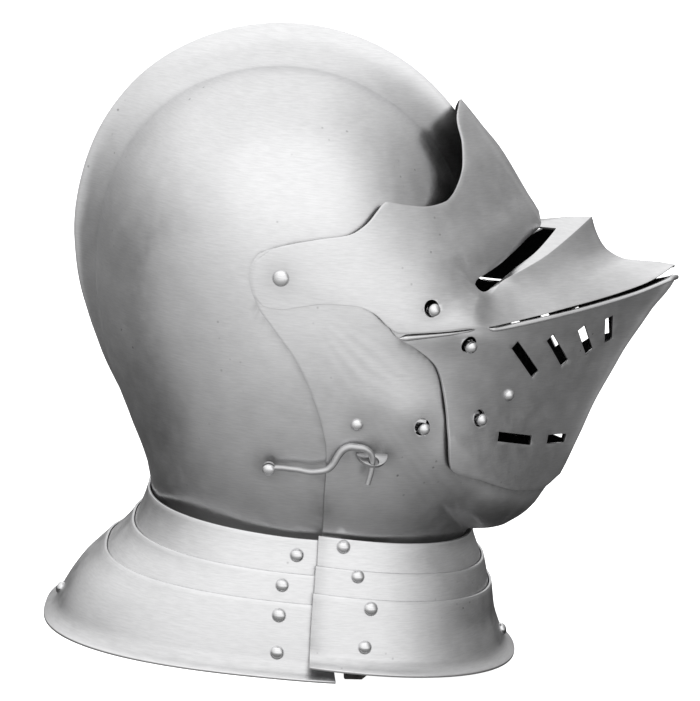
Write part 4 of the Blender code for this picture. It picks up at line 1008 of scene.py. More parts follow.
def lame_section(layer, top, bottom, turn, height, flanged):
    """Closed section from the top edge down the outside and up the inside."""
    count = 12
    shares = [top + (bottom - top) * k / count for k in range(count + 1)]
    if flanged:
        rise = FLANGE_HEIGHT / (PIVOT_HEIGHT - COLLAR_TOP_SIDE)
        shares = [top + (1 - rise - top) * k / count for k in range(count + 1)]
    outer = [(share, 0.0, 0.0) for share in shares]
    inner = [(share, -WALL, 0.0) for share in reversed(shares)]
    if flanged:
        bent = [(0.25, 0.05), (0.5, 0.22), (0.75, 0.52)]
        for down, out in bent:
            outer.append((1 - rise * (1 - down), FLANGE_OUT * out, WALL * down))
        outer += [(1.0, FLANGE_OUT, WALL), (1.0, FLANGE_OUT, 0.0), (1.0, FLANGE_OUT - 2.2 * WALL, 0.0)]
        inner = [(1 - rise * (1 - d), FLANGE_OUT * o - WALL, 0.0) for d, o in reversed(bent)] + inner
    points = []
    for share, offset, lift in outer + inner:
        forward, out = collar_point(share, turn, layer, offset)
        points.append(spot(forward, height(share, turn) + lift, out))
    return points, len(outer)


BAND_FILED = 0.0003


def sweep(name, sections, outer_count, finishes, painted_shade_of=None):
    """Closed solid through closed sections, with the dark finish on its inner faces."""
    work = bmesh.new()
    layer = work.verts.layers.float.new("dirt")
    made = [[work.verts.new(point) for point in section] for section in sections]
    count = len(sections[0])
    for before, after in zip(made, made[1:]):
        for k in range(count):
            n = (k + 1) % count
            face = work.faces.new((before[k], before[n], after[n], after[k]))
            face.material_index = 1 if outer_count <= k < count - 1 else 0
    work.faces.new(made[0])
    work.faces.new(list(reversed(made[-1])))
    bmesh.ops.recalc_face_normals(work, faces=work.faces)
    # Painted shade on each point, from the rule given for it.
    for i, section in enumerate(made):
        for k, vert in enumerate(section):
            vert[layer] = painted_shade_of(i, k) if painted_shade_of else 0.0
    made_piece = add_piece(name, finished(name, work), finishes)
    file_edges(made_piece, BAND_FILED)
    return made_piece


def make_lame(name, layer, top, bottom, height, front):
    steps = 110
    flanged = bottom == 1.0
    if front:
        start = turn_at(COLLAR_SPLIT, top, layer)
        turns = [start + (360 - 2 * start) * k / steps for k in range(steps + 1)]
    else:
        end_turn = turn_at(COLLAR_SPLIT + COLLAR_LAP, top, layer)
        turns = [-end_turn + 2 * end_turn * k / steps for k in range(steps + 1)]
    sections = []
    for turn in turns:
        around = min(turn, 360 - turn) if front else abs(turn)
        section, outer_count = lame_section(layer, top, bottom, around, height, flanged)
        side = -1 if (turn > 180 or turn < 0) else 1
        sections.append([Vector((p.x * side, p.y, p.z)) for p in section])

    # Painted shade at each plate's ends, where the next plate laps, and in the bend of the rim.
    def painted_shade_of(i, k):
        edge = min(i, steps - i) / steps
        lap = 0.25 * math.exp(-0.5 * (edge / 0.012) ** 2)
        rim = 0.22 if flanged and outer_count - 6 <= k <= outer_count - 4 else 0.0
        return max(lap, rim)

    return sweep(name + "_band", sections, outer_count, (collar_steel, neck_painted_light_steel), painted_shade_of)


collar = {}
for name, layer, top, bottom in REAR_LAMES:
    collar[name] = make_lame(name, layer, top, bottom, rear_height, False)
for name, layer, top, bottom in FRONT_LAMES:
    collar[name] = make_lame(name, layer, top, bottom, front_height, True)

# %% [markdown]
# ## Rivets
# Dozens of round heads hold the helmet together. One head is turned as a closed dome, and Geometry
# Nodes set a copy on each point of a small cloud, along the direction stored with the point. A
# little seeded change of size keeps them from looking stamped.

# %% One rivet head and the tree that sets it
def dome_mesh(name, radius, height, below, steps=28, rise=7):
    """Closed dome of revolution: a cap, a short side into the plate, and a flat foot."""
    profile = []
    for k in range(rise + 1):
        a = math.pi / 2 * (1 - k / rise)
        profile.append((radius * math.cos(a), height * math.sin(a)))
    profile.append((radius * 0.98, -below))
    work = bmesh.new()
    top = work.verts.new((0, 0, profile[0][1]))
    foot = work.verts.new((0, 0, -below))
    turns = [math.tau * k / steps for k in range(steps)]
    rings = [[work.verts.new((r * math.cos(a), r * math.sin(a), z)) for a in turns] for r, z in profile[1:]]
    for k in range(steps):
        n = (k + 1) % steps
        work.faces.new((top, rings[0][k], rings[0][n]))
        work.faces.new((foot, rings[-1][n], rings[-1][k]))
        for a, b in zip(rings, rings[1:]):
            work.faces.new((a[k], b[k], b[n], a[n]))
    bmesh.ops.recalc_face_normals(work, faces=work.faces)
    mesh = finished(name, work)
    sharpen(mesh, 50)
    return mesh


def geometry_tree(name, *inputs):
    """A tree from geometry to geometry, with named inputs, a kind and a value each."""
    tree = bpy.data.node_groups.new(name, "GeometryNodeTree")
    group_socket(tree, "Geometry", "INPUT", "NodeSocketGeometry")
    for label, kind, value in inputs:
        group_socket(tree, label, "INPUT", "NodeSocket" + kind, value)
    group_socket(tree, "Geometry", "OUTPUT", "NodeSocketGeometry")
    return tree


def rivet_tree():
    tree = geometry_tree("Set rivets", ("Head", "Object", None), ("Size change", "Float", 0.04),
                         ("Finish", "Material", None))
    start = tree.nodes.new("NodeGroupInput")
    end = tree.nodes.new("NodeGroupOutput")
    head = tree.nodes.new("GeometryNodeObjectInfo")
    copies = tree.nodes.new("GeometryNodeInstanceOnPoints")
    outward = tree.nodes.new("GeometryNodeInputNamedAttribute")
    outward.data_type = "FLOAT_VECTOR"
    outward.inputs["Name"].default_value = "outward"
    align = tree.nodes.new("FunctionNodeAlignRotationToVector")
    align.axis = "Z"
    change = tree.nodes.new("FunctionNodeRandomValue")
    change.data_type = "FLOAT"
    change.inputs["Seed"].default_value = 7
    low = tree.nodes.new("ShaderNodeMath")
    low.operation = "SUBTRACT"
    low.inputs[0].default_value = 1.0
    high = tree.nodes.new("ShaderNodeMath")
    high.operation = "ADD"
    high.inputs[0].default_value = 1.0
    real = tree.nodes.new("GeometryNodeRealizeInstances")
    paint = tree.nodes.new("GeometryNodeSetMaterial")
    link = tree.links.new
    link(start.outputs["Geometry"], copies.inputs["Points"])
    link(start.outputs["Head"], head.inputs["Object"])
    link(head.outputs["Geometry"], copies.inputs["Instance"])
    link(outward.outputs["Attribute"], align.inputs["Vector"])
    link(align.outputs["Rotation"], copies.inputs["Rotation"])
    link(start.outputs["Size change"], low.inputs[1])
    link(start.outputs["Size change"], high.inputs[1])
    link(low.outputs[0], change.inputs[2])
    link(high.outputs[0], change.inputs[3])
    link(change.outputs[1], copies.inputs["Scale"])
    link(copies.outputs["Instances"], real.inputs["Geometry"])
    link(real.outputs["Geometry"], paint.inputs["Geometry"])
    link(start.outputs["Finish"], paint.inputs["Material"])
    link(paint.outputs["Geometry"], end.inputs["Geometry"])
    return tree


set_rivets = rivet_tree()


def tree_input(tree, name):
    return next(item.identifier for item in tree.interface.items_tree
                if item.item_type == "SOCKET" and item.in_out == "INPUT" and item.name == name)


def rivet_piece(name, places, head_mesh, finish, change=0.03):
    """One plain mesh with a head at each place, which is a matrix whose +Z points outward."""
    head = add_piece("head_for_" + name, head_mesh)
    cloud = bpy.data.meshes.new(name)
    cloud.from_pydata([p.translation[:] for p in places], [], [])
    outward = cloud.attributes.new("outward", "FLOAT_VECTOR", "POINT")
    for k, place in enumerate(places):
        outward.data[k].vector = place.to_3x3() @ Vector((0, 0, 1))
    made = add_piece(name, cloud)
    setter = made.modifiers.new("Set rivets", "NODES")
    setter.node_group = set_rivets
    setter[tree_input(set_rivets, "Head")] = head
    setter[tree_input(set_rivets, "Size change")] = change
    setter[tree_input(set_rivets, "Finish")] = finish
    bake(made)
    sharpen(made.data, 50)
    bpy.data.objects.remove(head)
    print(name, "heads", len(places), "faces", len(made.data.polygons))
    return made


# %% [markdown]
# ## Where the rivets sit
# Four rivets a side join the collar plates to their leathers behind and in front, and one sits in
# the middle of each rim. Each place is found on the collar's own surface, a hair inside the head's foot.

# %% Collar rivets
REAR_RIVETS = ((0.12, 0.0210), (0.34, 0.0151), (0.55, 0.0149), (0.82, 0.0157))
FRONT_RIVETS = ((0.06, 0.0440), (0.27, 0.0526), (0.50, 0.0606), (0.80, 0.0594))
RIM_RIVET_UP = 0.0096


def collar_frame(share, forward, layer, height):
    turn = turn_at(forward, share, layer)

    def point(a, b):
        f, x = collar_point(a, b, layer)
        return spot(f, height(a, b), x)

    here = point(share, turn)
    aside = 0.5 if turn < 90 else -0.5
    outward = (point(share, turn + aside) - here).cross(point(share + 0.01, turn) - here).normalized()
    if outward.dot(here - Vector((0, PIVOT_Y - NECK_MIDDLE, here.z))) < 0:
        outward.negate()
    return frame_at(here, outward)


def mirrored(place):
    return FLIP @ place @ FLIP


def collar_places(rivets, lames, height, rim_forward, rim_share):
    places = []
    for share, forward in rivets:
        layer = max(row[1] for row in lames if row[2] < share)
        place = collar_frame(share, forward, layer, height)
        places += [place, mirrored(place)]
    places.append(collar_frame(rim_share, rim_forward, lames[-1][1], height))
    return places


rear_places = collar_places(REAR_RIVETS, REAR_LAMES, rear_height, -1.0,
                            1 - RIM_RIVET_UP / (PIVOT_HEIGHT - COLLAR_TOP_BACK))
front_places = collar_places(FRONT_RIVETS, FRONT_LAMES, front_height, 1.0,
                             1 - RIM_RIVET_UP / (PIVOT_HEIGHT - COLLAR_TOP_FRONT))
collar_head = dome_mesh("collar_head", 0.0036, 0.0027, 0.0004)
rear_rivets = rivet_piece("rear_collar_rivets", rear_places, collar_head, rivet_steel)
front_rivets = rivet_piece("front_collar_rivets", front_places, collar_head.copy(), rivet_steel)
pivot_place = frame_at(spot(0, 0, visor_out(0, 0)), Vector((-1, 0, 0)))
pivot_rivets = rivet_piece("pivot_rivets", [pivot_place, mirrored(pivot_place)],
                           dome_mesh("pivot_head", 0.0042, 0.0026, 0.0004), rivet_steel)
small_head = dome_mesh("leaf_head", 0.0032, 0.0025, 0.0004)
breath_place = surface_frame(ventail_out, BREATH_LEAF_AT)
bevor_place = surface_frame(bevor_out, BEVOR_LEAF_AT)
breath_rivet = rivet_piece("breath_leaf_head", [breath_place], small_head, rivet_steel)
bevor_rivet = rivet_piece("bevor_leaf_head", [bevor_place], small_head.copy(), rivet_steel)

# %% [markdown]
# ## Spring pegs
# Four round pegs stand in drilled holes on the right side. Each is pushed out by a flat spring
# behind the plate, and pressing it in lets the plate above lift. The peg is a short bar with a
# ball end, and the two lower ones keep the leaf that joins them to the rivet beside them.

# %% Pegs and leaves
def peg_mesh(name, radius, stands, below, place):
    mesh = dome_mesh(name, radius, radius * 0.8, below + stands - radius * 0.8)
    mesh.transform(Matrix.Translation((0, 0, stands - radius * 0.8)))
    mesh.transform(place)
    return mesh


PEG_SLACK = 0.0011


def peg_piece(name, law, at, leaf_at=None, radius=0.0032, stands=0.0038):
    place = surface_frame(law, at, leaf_at)
    slack = Vector((0, -0.62, -0.72)) * PEG_SLACK
    mesh = peg_mesh(name, radius, stands, 0.0030 if leaf_at else WALL, Matrix.Translation(slack) @ place)
    made = add_piece(name, mesh, (rivet_steel,))
    if leaf_at:
        deep = 0.0016
        end_place = surface_frame(law, leaf_at) @ Vector((0, 0, -WALL - deep))
        start_place = place @ Vector((0, 0, -WALL - deep))
        line = end_place - start_place
        outward = place.to_3x3() @ Vector((0, 0, 1))
        direction = line.normalized()
        outward = (outward - direction * outward.dot(direction)).normalized()
        work = bmesh.new()
        bmesh.ops.create_cube(work, size=1.0)
        bmesh.ops.scale(work, vec=(line.length + 0.007, 0.007, 0.0009), verts=work.verts)
        bmesh.ops.translate(work, vec=(0, 0, -0.00045), verts=work.verts)
        bmesh.ops.bevel(work, geom=work.edges, offset=0.0002, segments=1, affect="EDGES")
        leaf = finished(name + "_leaf", work, smooth=False)
        leaf.transform(frame_at(start_place + line / 2, outward, line))
        fuse(made, add_piece(name + "_leaf", leaf, (inner_steel,)), "Leaf")
    return made


visor_peg = peg_piece("visor_spring_peg", visor_out, VISOR_PEG_AT)
ventail_peg = peg_piece("ventail_spring_peg", ventail_out, VENTAIL_PEG_AT)
breath_peg = peg_piece("breath_spring_peg", ventail_out, BREATH_PEG_AT, BREATH_LEAF_AT, 0.0031, 0.0033)
bevor_peg = peg_piece("bevor_spring_peg", bevor_out, BEVOR_PEG_AT, BEVOR_LEAF_AT, 0.0031, 0.0033)
print("pegs made")

# %% [markdown]
# ## The rolled rim
# The ventail's top edge is turned over outward in front, where it would catch a blow. A Geometry
# Nodes tree lays a round section along a line of points, which is how a smith sees it too: one
# bar that follows the edge and thins out where it dies into the cheek.

# %% A tree that lays a bar along a path
def bar_tree():
    tree = geometry_tree("Bar along a path", ("Radius", "Float", 0.001), ("Sides", "Int", 14),
                         ("Finish", "Material", None))
    start = tree.nodes.new("NodeGroupInput")
    end = tree.nodes.new("NodeGroupOutput")
    curve = tree.nodes.new("GeometryNodeMeshToCurve")
    size = tree.nodes.new("GeometryNodeSetCurveRadius")
    named = tree.nodes.new("GeometryNodeInputNamedAttribute")
    named.data_type = "FLOAT"
    named.inputs["Name"].default_value = "thickness"
    times = tree.nodes.new("ShaderNodeMath")
    times.operation = "MULTIPLY"
    ring = tree.nodes.new("GeometryNodeCurvePrimitiveCircle")
    ring.inputs["Radius"].default_value = 1.0
    skin = tree.nodes.new("GeometryNodeCurveToMesh")
    skin.inputs["Fill Caps"].default_value = True
    smooth = tree.nodes.new("GeometryNodeSetShadeSmooth")
    real = tree.nodes.new("GeometryNodeRealizeInstances")
    paint = tree.nodes.new("GeometryNodeSetMaterial")
    link = tree.links.new
    link(start.outputs["Geometry"], curve.inputs["Mesh"])
    link(curve.outputs["Curve"], size.inputs["Curve"])
    link(named.outputs["Attribute"], times.inputs[0])
    link(start.outputs["Radius"], times.inputs[1])
    link(times.outputs[0], size.inputs["Radius"])
    link(start.outputs["Sides"], ring.inputs["Resolution"])
    link(size.outputs["Curve"], skin.inputs["Curve"])
    link(ring.outputs["Curve"], skin.inputs["Profile Curve"])
    if "Scale" in skin.inputs:
        link(times.outputs[0], skin.inputs["Scale"])
    link(skin.outputs["Mesh"], smooth.inputs["Geometry"])
    link(smooth.outputs["Geometry"], real.inputs["Geometry"])
    link(real.outputs["Geometry"], paint.inputs["Geometry"])
    link(start.outputs["Finish"], paint.inputs["Material"])
    link(paint.outputs["Geometry"], end.inputs["Geometry"])
    return tree


lay_bar = bar_tree()


def bar_piece(name, points, thickness, radius, finish, sides=14):
    path = bpy.data.meshes.new(name)
    path.from_pydata([p[:] for p in points], [(k, k + 1) for k in range(len(points) - 1)], [])
    size = path.attributes.new("thickness", "FLOAT", "POINT")
    for k, value in enumerate(thickness):
        size.data[k].value = value
    made = add_piece(name, path)
    layer = made.modifiers.new("Bar", "NODES")
    layer.node_group = lay_bar
    layer[tree_input(lay_bar, "Radius")] = radius
    layer[tree_input(lay_bar, "Sides")] = sides
    layer[tree_input(lay_bar, "Finish")] = finish
    bake(made)
    print(name, "faces", len(made.data.polygons), "length mm",
          round(sum((b - a).length for a, b in zip(points, points[1:])) * 1000, 1))
    return made


# %% [markdown]
# ## The hook and its lug
# A round wire hook turns on a rivet low on the skull, rises over a bend and drops through a pierced
# half-moon lug on the bevor. The wire is laid along listed points with the same tree, thinner
# to its tip, and its eye is a flattened ring round the rivet's neck.

# %% Hook
HOOK_AT = (1.4, -49.1)
HOOK_OUT = 0.0957
HOOK_STEP = 0.0012
HOOK_LEAN = math.radians(17)
LEG_IN = 0.0023
WIRE_RADIUS = 0.0018
HOOK_ROUTE = ((2.75, -49.05), (5.4, -48.9), (8.2, -48.9), (11.7, -49.2), (13.9, -48.9), (15.9, -48.2),
              (17.3, -46.6), (18.3, -44.4), (19.6, -42.6), (21.5, -41.8), (23.9, -41.9), (26.1, -43.0),
              (26.9, -45.0), (26.9, -47.4), (26.6, -49.6), (26.3, -51.2))
hook_points = []
hook_sizes = []
hook_line = in_metres(HOOK_ROUTE)
for k in range(91):
    t = k / 90
    f, z = along(hook_line, t)
    inward = HOOK_STEP * (1 - soft_step(0.02, 0.14, t)) + LEG_IN * soft_step(0.66, 0.84, t)
    hook_points.append(spot(f, z, HOOK_OUT - inward))
    hook_sizes.append(0.78 + 0.30 * math.exp(-((t - 0.60) / 0.24) ** 2) - 0.04 * soft_step(0.90, 1.0, t))
hook_wire = bar_piece("hook_wire", hook_points, hook_sizes, WIRE_RADIUS, wire_steel, 16)
leaning = Vector((-math.cos(HOOK_LEAN), 0, -math.sin(HOOK_LEAN)))
hook_place = frame_at(spot(*face_share(HOOK_AT), HOOK_OUT - HOOK_STEP), leaning)


def ring_mesh(name, inner, outer, thick, place, steps=32):
    work = bmesh.new()
    section = ((inner, -thick / 2), (inner, thick / 2), (outer * 0.9, thick / 2), (outer, 0.0),
               (outer * 0.9, -thick / 2))
    rings = []
    for k in range(steps):
        a = math.tau * k / steps
        rings.append([work.verts.new((r * math.cos(a), r * math.sin(a), z)) for r, z in section])
    for a, b in zip(rings, rings[1:] + rings[:1]):
        for k in range(len(section)):
            n = (k + 1) % len(section)
            work.faces.new((a[k], a[n], b[n], b[k]))
    bmesh.ops.recalc_face_normals(work, faces=work.faces)
    mesh = finished(name, work)
    mesh.transform(place)
    return mesh


hook_eye = add_piece("hook_eye", ring_mesh("hook_eye", 0.0014, 0.0034, 0.0018, hook_place), (wire_steel,))
fuse(hook_wire, hook_eye, "Eye")
hook_head = dome_mesh("hook_head", 0.0033, 0.0024, 0.0002)
hook_head.transform(Matrix.Translation((0, 0, 0.0027)))
hook_head.transform(hook_place)
hook_rivet = add_piece("hook_rivet_head", hook_head, (rivet_steel,))
shank = round_cutter("hook_rivet_shank", hook_place @ Matrix.Translation((0, 0, -0.0005)), 0.0010, 0.0066)
fuse(hook_rivet, shank, "Shank")

# %% [markdown]
# ## The lug
# The lug is a half disc of plate that stands on the bevor, droops a little and is pierced for the
# hook's leg. Its outline is found by halving along lines from the hole's middle, so the hole and the
# rim are joined by plain four-sided faces and nothing has to be cut.

# %% Lug
LUG_AT = (26.6, -43.9)
LUG_RADIUS, LUG_HOLE, LUG_THICK = 0.0082, 0.0029, 0.0018
LUG_DROOP = math.radians(26)
LUG_SUNK = 0.0003


def lug_mesh(name, radius, hole, thick):
    centre = Vector((0, radius * 0.62))
    steps = 48
    outline = []
    for k in range(steps):
        a = math.tau * k / steps
        direction = Vector((math.cos(a), math.sin(a)))
        low, high = hole, 2 * radius
        for _ in range(40):
            middle = (low + high) / 2
            p = centre + direction * middle
            if p.y > 0 and p.length < radius:
                low = middle
            else:
                high = middle
        outline.append(centre + direction * low)
    work = bmesh.new()
    loops = []
    for z in (thick / 2, -thick / 2):
        for inner in (False, True):
            ring = []
            for k in range(steps):
                a = math.tau * k / steps
                p = centre + Vector((math.cos(a), math.sin(a))) * hole if inner else outline[k]
                ring.append(work.verts.new((p.x, p.y, z)))
            loops.append(ring)
    order = (loops[0], loops[1], loops[3], loops[2])
    for a, b in zip(order, order[1:] + order[:1]):
        for k in range(steps):
            n = (k + 1) % steps
            work.faces.new((a[k], a[n], b[n], b[k]))
    bmesh.ops.recalc_face_normals(work, faces=work.faces)
    return finished(name, work)


lug_place = surface_frame(bevor_out, LUG_AT)
outward = lug_place.to_3x3() @ Vector((0, 0, 1))
side = outward.cross(Vector((0, 0, 1))).normalized()
turn = Matrix((side, outward, side.cross(outward))).transposed().to_4x4()
turn = turn @ Matrix.Rotation(-LUG_DROOP, 4, "X")
lug_data = lug_mesh("lug", LUG_RADIUS, LUG_HOLE, LUG_THICK)
lug_data.transform(Matrix.Translation(lug_place.translation - outward * LUG_SUNK) @ turn)
lug = add_piece("hook_lug", lug_data, (wire_steel,))
file_edges(lug, 0.0004, segments=3, angle=40)

# %% Rolled rim and ledge of the ventail
def rim_place(i, stands, down):
    """Point beside the ventail's top edge, stood off square to the plate."""
    row, after, before = sheet_rows[i], sheet_rows[min(i + 1, len(sheet_rows) - 1)], sheet_rows[i - 1]
    outward = (after[0] - before[0]).cross(row[1] - row[0]).normalized()
    if outward.dot(row[0] - Vector((0, PIVOT_Y, PIVOT_HEIGHT))) < 0:
        outward.negate()
    if i == len(sheet_rows) - 1:
        outward = Vector((0, outward.y, outward.z)).normalized()
    edge = (row[1] - row[0]).normalized()
    return row[0] + outward * stands + edge * down


RIM_RADIUS = 0.00135
first = 7 * 6 + 3
points = [rim_place(i, 0.0002, 0.0006) for i in range(first, len(sheet_rows))]
points += [Vector((-p.x, p.y, p.z)) for p in reversed(points[:-1])]
count = len(points)
sizes = [0.25 + 0.75 * soft_step(0, 0.035, min(k, count - 1 - k) / count) for k in range(count)]
rolled_rim = bar_piece("ventail_rolled_rim", points, sizes, RIM_RADIUS, collar_steel, 14)
LEDGE = ((30.6, -13.4), (34.0, -13.0), (40.5, -12.4), (46.0, -11.8), (49.5, -11.3))
line = in_metres(LEDGE)
points = []
for k in range(41):
    f, z = along(line, k / 40)
    points.append(spot(f, z, ventail_out(f, z) - 0.0002))
sizes = [(0.4 + 0.6 * soft_step(0, 0.08, min(k, 40 - k) / 40)) * (1.75 - 1.1 * k / 40) for k in range(41)]
ledge_right = bar_piece("ventail_ledge_right", points, sizes, 0.0011, collar_steel, 12)
ledge_left = bar_piece("ventail_ledge_left", [Vector((-p.x, p.y, p.z)) for p in points], sizes, 0.0011,
                       collar_steel, 12)

# %% [markdown]
# ## The straps
# Thick leather carries the front collar plates from behind. Only the tips show, under the rim, so
# the strap is swept down the inside of the plates and ends in a slanting cut.

# %% Straps
STRAP_WIDTH = 0.0220
STRAP_AHEAD = 0.0606
STRAP_THICK = 0.0020
STRAP_GAP = 0.0006
STRAP_ABOVE_FLOOR = 0.0010
# The share of the way down the collar and the layer that the strap follows there.
STRAP_LEVELS = ((0.06, 1), (0.16, 1), (0.27, 1), (0.34, 1.9), (0.42, 1.95), (0.49, 2), (0.57, 2.9),
                (0.73, 2.95), (0.90, 3))


def strap_section(share, layer, middle, width):
    outside, inside = [], []
    for k in range(9):
        forward = middle + width * (k / 8 - 0.5)
        turn = turn_at(forward, share, layer)
        for points, offset in ((outside, -WALL - STRAP_GAP), (inside, -WALL - STRAP_GAP - STRAP_THICK)):
            f, x = collar_point(share, turn, layer, offset)
            points.append(spot(f, front_height(share, turn), x))
    return outside + list(reversed(inside))


def strap_piece(name, side):
    sections = [strap_section(share, layer, STRAP_AHEAD, STRAP_WIDTH) for share, layer in STRAP_LEVELS]
    last = strap_section(*STRAP_LEVELS[-1], STRAP_AHEAD - STRAP_WIDTH * 0.22, STRAP_WIDTH * 0.4)
    sections.append([Vector((p.x, p.y, STRAP_ABOVE_FLOOR)) for p in last])
    turned = [[Vector((p.x * side, p.y, p.z)) for p in section] for section in sections]
    return sweep(name, turned, len(sections[0]), (strap_leather,))


right_strap = strap_piece("right_strap", 1)
left_strap = strap_piece("left_strap", -1)

# %% [markdown]
# ## Joining the pieces to the frame
# Every piece rides on the body that carries the CAD solid it stands for, and hides that solid. So
# the visor, the ventail, the bevor and the hook turn as the CAD says.

# %% Riding and replacing
RIDES = (
    (skull, "skull", ("skull",), "plate_steel"),
    (bevor, "bevor", ("bevor",), "plate_steel"),
    (ventail, "ventail", ("ventail",), "plate_steel"),
    (rolled_rim, "ventail", (), "plate_steel"),
    (ledge_right, "ventail", (), "plate_steel"),
    (ledge_left, "ventail", (), "plate_steel"),
    (visor, "visor", ("visor",), "plate_steel"),
    *((collar[row[0]], "skull", (row[0],), "plate_steel") for row in REAR_LAMES),
    *((collar[row[0]], "bevor", (row[0],), "plate_steel") for row in FRONT_LAMES),
    (rear_rivets, "skull", ["rear_rivet_%d_%s" % (k, s) for k in (1, 2, 3, 4) for s in ("right", "left")]
     + ["rear_rim_rivet"], "plate_steel"),
    (front_rivets, "bevor", ["front_rivet_%d_%s" % (k, s) for k in (1, 2, 3, 4) for s in ("right", "left")]
     + ["front_rim_rivet"], "plate_steel"),
    (pivot_rivets, "skull", ("pivot_rivet_right", "pivot_rivet_left"), "plate_steel"),
    (breath_rivet, "ventail", ("breath_leaf_rivet",), "plate_steel"),
    (bevor_rivet, "bevor", ("bevor_leaf_rivet",), "plate_steel"),
    (visor_peg, "visor", ("visor_peg",), "plate_steel"),
    (ventail_peg, "ventail", ("ventail_peg",), "plate_steel"),
    (breath_peg, "ventail", ("breath_peg",), "plate_steel"),
    (bevor_peg, "bevor", ("bevor_peg",), "plate_steel"),
    (hook_wire, "hook", ("hook",), "plate_steel"),
    (hook_rivet, "skull", ("hook_rivet",), "plate_steel"),
    (lug, "bevor", ("eye_lug",), "plate_steel"),
    (right_strap, "bevor", ("front_strap_right",), "strap_leather"),
    (left_strap, "bevor", ("front_strap_left",), "strap_leather"),
)
for piece, body, stands_for, slot_name in RIDES:
    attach(piece, body)
    if stands_for:
        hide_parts(*stands_for)
total = sum(len(p.vertices) - 2 for piece, *_ in RIDES for p in piece.data.polygons)
print("pieces", len(RIDES), "triangles", total)

# %% [markdown]
# ## Light, floor and camera
# The photograph was taken in soft light from above on a white ground. Metal shows what is round it,
# so the surroundings matter more than the lamps: they are bright above, grey at eye level and dark
# below. The floor is white to the camera. To the steel it glows grey, with painted light and a painted
# shadow of the helmet: dark near and under the helmet, lighter behind it.

# %% Surroundings
world = bpy.data.worlds.new("studio")
scene.world = world
world.use_nodes = True
tree = world.node_tree
tree.nodes.clear()
where = tree.nodes.new("ShaderNodeTexCoord")
split = tree.nodes.new("ShaderNodeSeparateXYZ")
tree.links.new(where.outputs["Generated"], split.inputs["Vector"])
toward_camera = math_node(tree, "ADD", math_node(tree, "MULTIPLY", split.outputs["X"], -0.93),
                          math_node(tree, "MULTIPLY", split.outputs["Y"], -0.37))
walls = ranged(tree, toward_camera, -0.30, 0.85, 0.34, 1.14)
ceiling = ranged(tree, split.outputs["Z"], -0.02, 0.62, 0.0, 1.0)
level = math_node(tree, "ADD", math_node(tree, "MULTIPLY", walls, math_node(tree, "SUBTRACT", 1.0, ceiling)),
                  math_node(tree, "MULTIPLY", ceiling, 1.10))
ahead = math_node(tree, "SUBTRACT", math_node(tree, "MULTIPLY", split.outputs["X"], 0.35), split.outputs["Y"])
ahead = math_node(tree, "ADD", ahead, math_node(tree, "MULTIPLY", split.outputs["Z"], 0.30))
level = math_node(tree, "MULTIPLY", level, ranged(tree, ahead, 0.60, 1.05, 1.0, 0.35))
lit = tree.nodes.new("ShaderNodeBackground")
tree.links.new(level, lit.inputs["Strength"])
seen = tree.nodes.new("ShaderNodeBackground")
for background in (lit, seen):
    background.inputs["Color"].default_value = (1, 1, 1, 1)
choose = tree.nodes.new("ShaderNodeMixShader")
ray = tree.nodes.new("ShaderNodeLightPath")
out = tree.nodes.new("ShaderNodeOutputWorld")
tree.links.new(ray.outputs["Is Camera Ray"], choose.inputs["Fac"])
tree.links.new(lit.outputs["Background"], choose.inputs[1])
tree.links.new(seen.outputs["Background"], choose.inputs[2])
tree.links.new(choose.outputs["Shader"], out.inputs["Surface"])

# %% Floor
floor_data = bpy.data.meshes.new("floor")
floor_data.from_pydata([(-6, -6, 0), (6, -6, 0), (6, 6, 0), (-6, 6, 0)], [], [(0, 1, 2, 3)])
floor = add_piece("floor", floor_data)
floor_finish = bpy.data.materials.new("floor")
floor_finish.use_nodes = True
tree = floor_finish.node_tree
tree.nodes.remove(tree.nodes["Principled BSDF"])
place = tree.nodes.new("ShaderNodeTexCoord")
split = tree.nodes.new("ShaderNodeSeparateXYZ")
tree.links.new(place.outputs["Object"], split.inputs["Vector"])
# Painted shadow and light: the glow that only the steel sees darkens towards and under the helmet, as its shadow
# would, and a painted pool of light lifts it behind.
near = ranged(tree, split.outputs["X"], -0.80, 0.05, 0.98, 0.12)
behind = ranged(tree, split.outputs["Y"], 0.15, 0.90, 1.0, 0.75)
under = math_node(tree, "MULTIPLY", ranged(tree, split.outputs["Y"], -0.25, -0.15, 0.0, 0.75),
                  ranged(tree, split.outputs["X"], -0.15, -0.02, 0.0, 1.0))
near = math_node(tree, "MULTIPLY", math_node(tree, "MULTIPLY", near, behind),
                 math_node(tree, "SUBTRACT", 1.0, under))
lift = math_node(tree, "MULTIPLY", ranged(tree, split.outputs["Y"], 0.10, 0.55, 0.0, 0.20),
                 ranged(tree, split.outputs["X"], -0.55, -0.15, 0.0, 1.0))
near = math_node(tree, "ADD", near, lift)
sheen = tree.nodes.new("ShaderNodeEmission")
tree.links.new(near, sheen.inputs["Strength"])
white = tree.nodes.new("ShaderNodeBsdfDiffuse")
white.inputs["Color"].default_value = (0.97, 0.97, 0.97, 1)
glow = tree.nodes.new("ShaderNodeEmission")
glow.inputs["Strength"].default_value = 1.0
both = tree.nodes.new("ShaderNodeAddShader")
ray = tree.nodes.new("ShaderNodeLightPath")
choose = tree.nodes.new("ShaderNodeMixShader")
tree.links.new(white.outputs["BSDF"], both.inputs[0])
tree.links.new(glow.outputs["Emission"], both.inputs[1])
tree.links.new(ray.outputs["Is Camera Ray"], choose.inputs["Fac"])
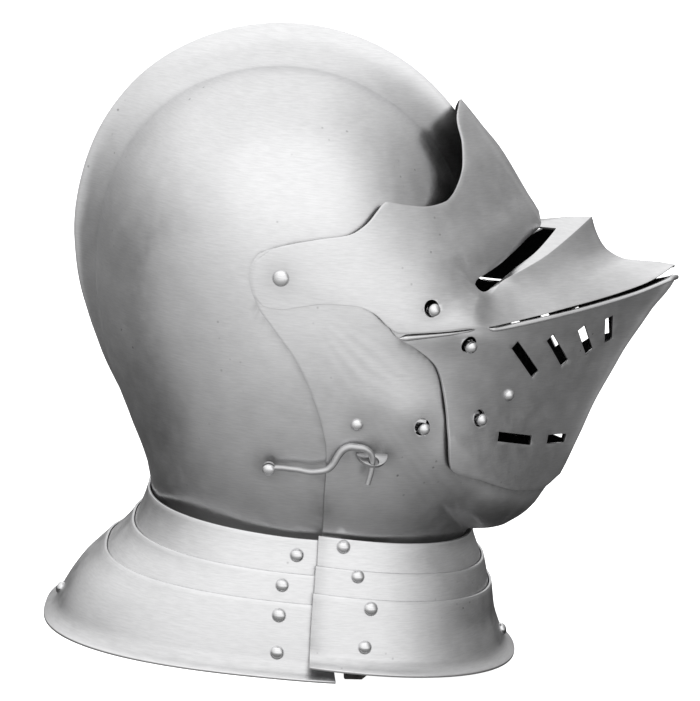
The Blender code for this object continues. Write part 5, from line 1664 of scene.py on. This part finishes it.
tree.links.new(sheen.outputs["Emission"], choose.inputs[1])
tree.links.new(both.outputs["Shader"], choose.inputs[2])
tree.links.new(choose.outputs["Shader"], tree.nodes["Material Output"].inputs["Surface"])
floor_data.materials.append(floor_finish)


# %% Lamps
def softbox(name, place, target, width, height, power):
    lamp = bpy.data.lights.new(name, "AREA")
    lamp.shape = "RECTANGLE"
    lamp.size = width
    lamp.size_y = height
    lamp.energy = power
    made = bpy.data.objects.new(name, lamp)
    scene.collection.objects.link(made)
    place, target = Vector(place), Vector(target)
    turn = (place - target).to_track_quat("Z", "Y").to_matrix().to_4x4()
    made.matrix_world = Matrix.Translation(place) @ turn


softbox("overhead", (-0.95, 0.05, 1.35), (0, 0.02, 0.20), 1.9, 1.7, 1.8)

# %% [markdown]
# ## Camera
# The photograph looks at the wearer's right side, a little from above, and is tilted by a few
# degrees, which the camera's roll repeats. The distance and lens give the size of one pixel.

# %% Camera
AZIMUTH, ELEVATION, ROLL = math.radians(-91), math.radians(11), math.radians(5.6)
TARGET = Vector((0, 0.0081, 0.1508))
DISTANCE = 2.0
back = Vector((math.sin(AZIMUTH) * math.cos(ELEVATION), -math.cos(AZIMUTH) * math.cos(ELEVATION),
               math.sin(ELEVATION)))
right = Vector((math.cos(AZIMUTH), math.sin(AZIMUTH), 0))
up = back.cross(right)
rolled_right = right * math.cos(ROLL) + up * math.sin(ROLL)
rolled_up = up * math.cos(ROLL) - right * math.sin(ROLL)
camera_data = bpy.data.cameras.new("camera")
camera_data.sensor_fit = "HORIZONTAL"
camera_data.sensor_width = 36.0
camera_data.lens = 36.0 * (DISTANCE / 0.00052) / 700
camera_data.clip_start = 0.05
camera_data.clip_end = 60
camera = bpy.data.objects.new("camera", camera_data)
scene.collection.objects.link(camera)
turn = Matrix((rolled_right, rolled_up, back)).transposed().to_4x4()
camera.matrix_world = Matrix.Translation(TARGET + back * DISTANCE) @ turn
scene.camera = camera
scene.view_settings.view_transform = "Standard"
print("lens mm", round(camera_data.lens, 1))
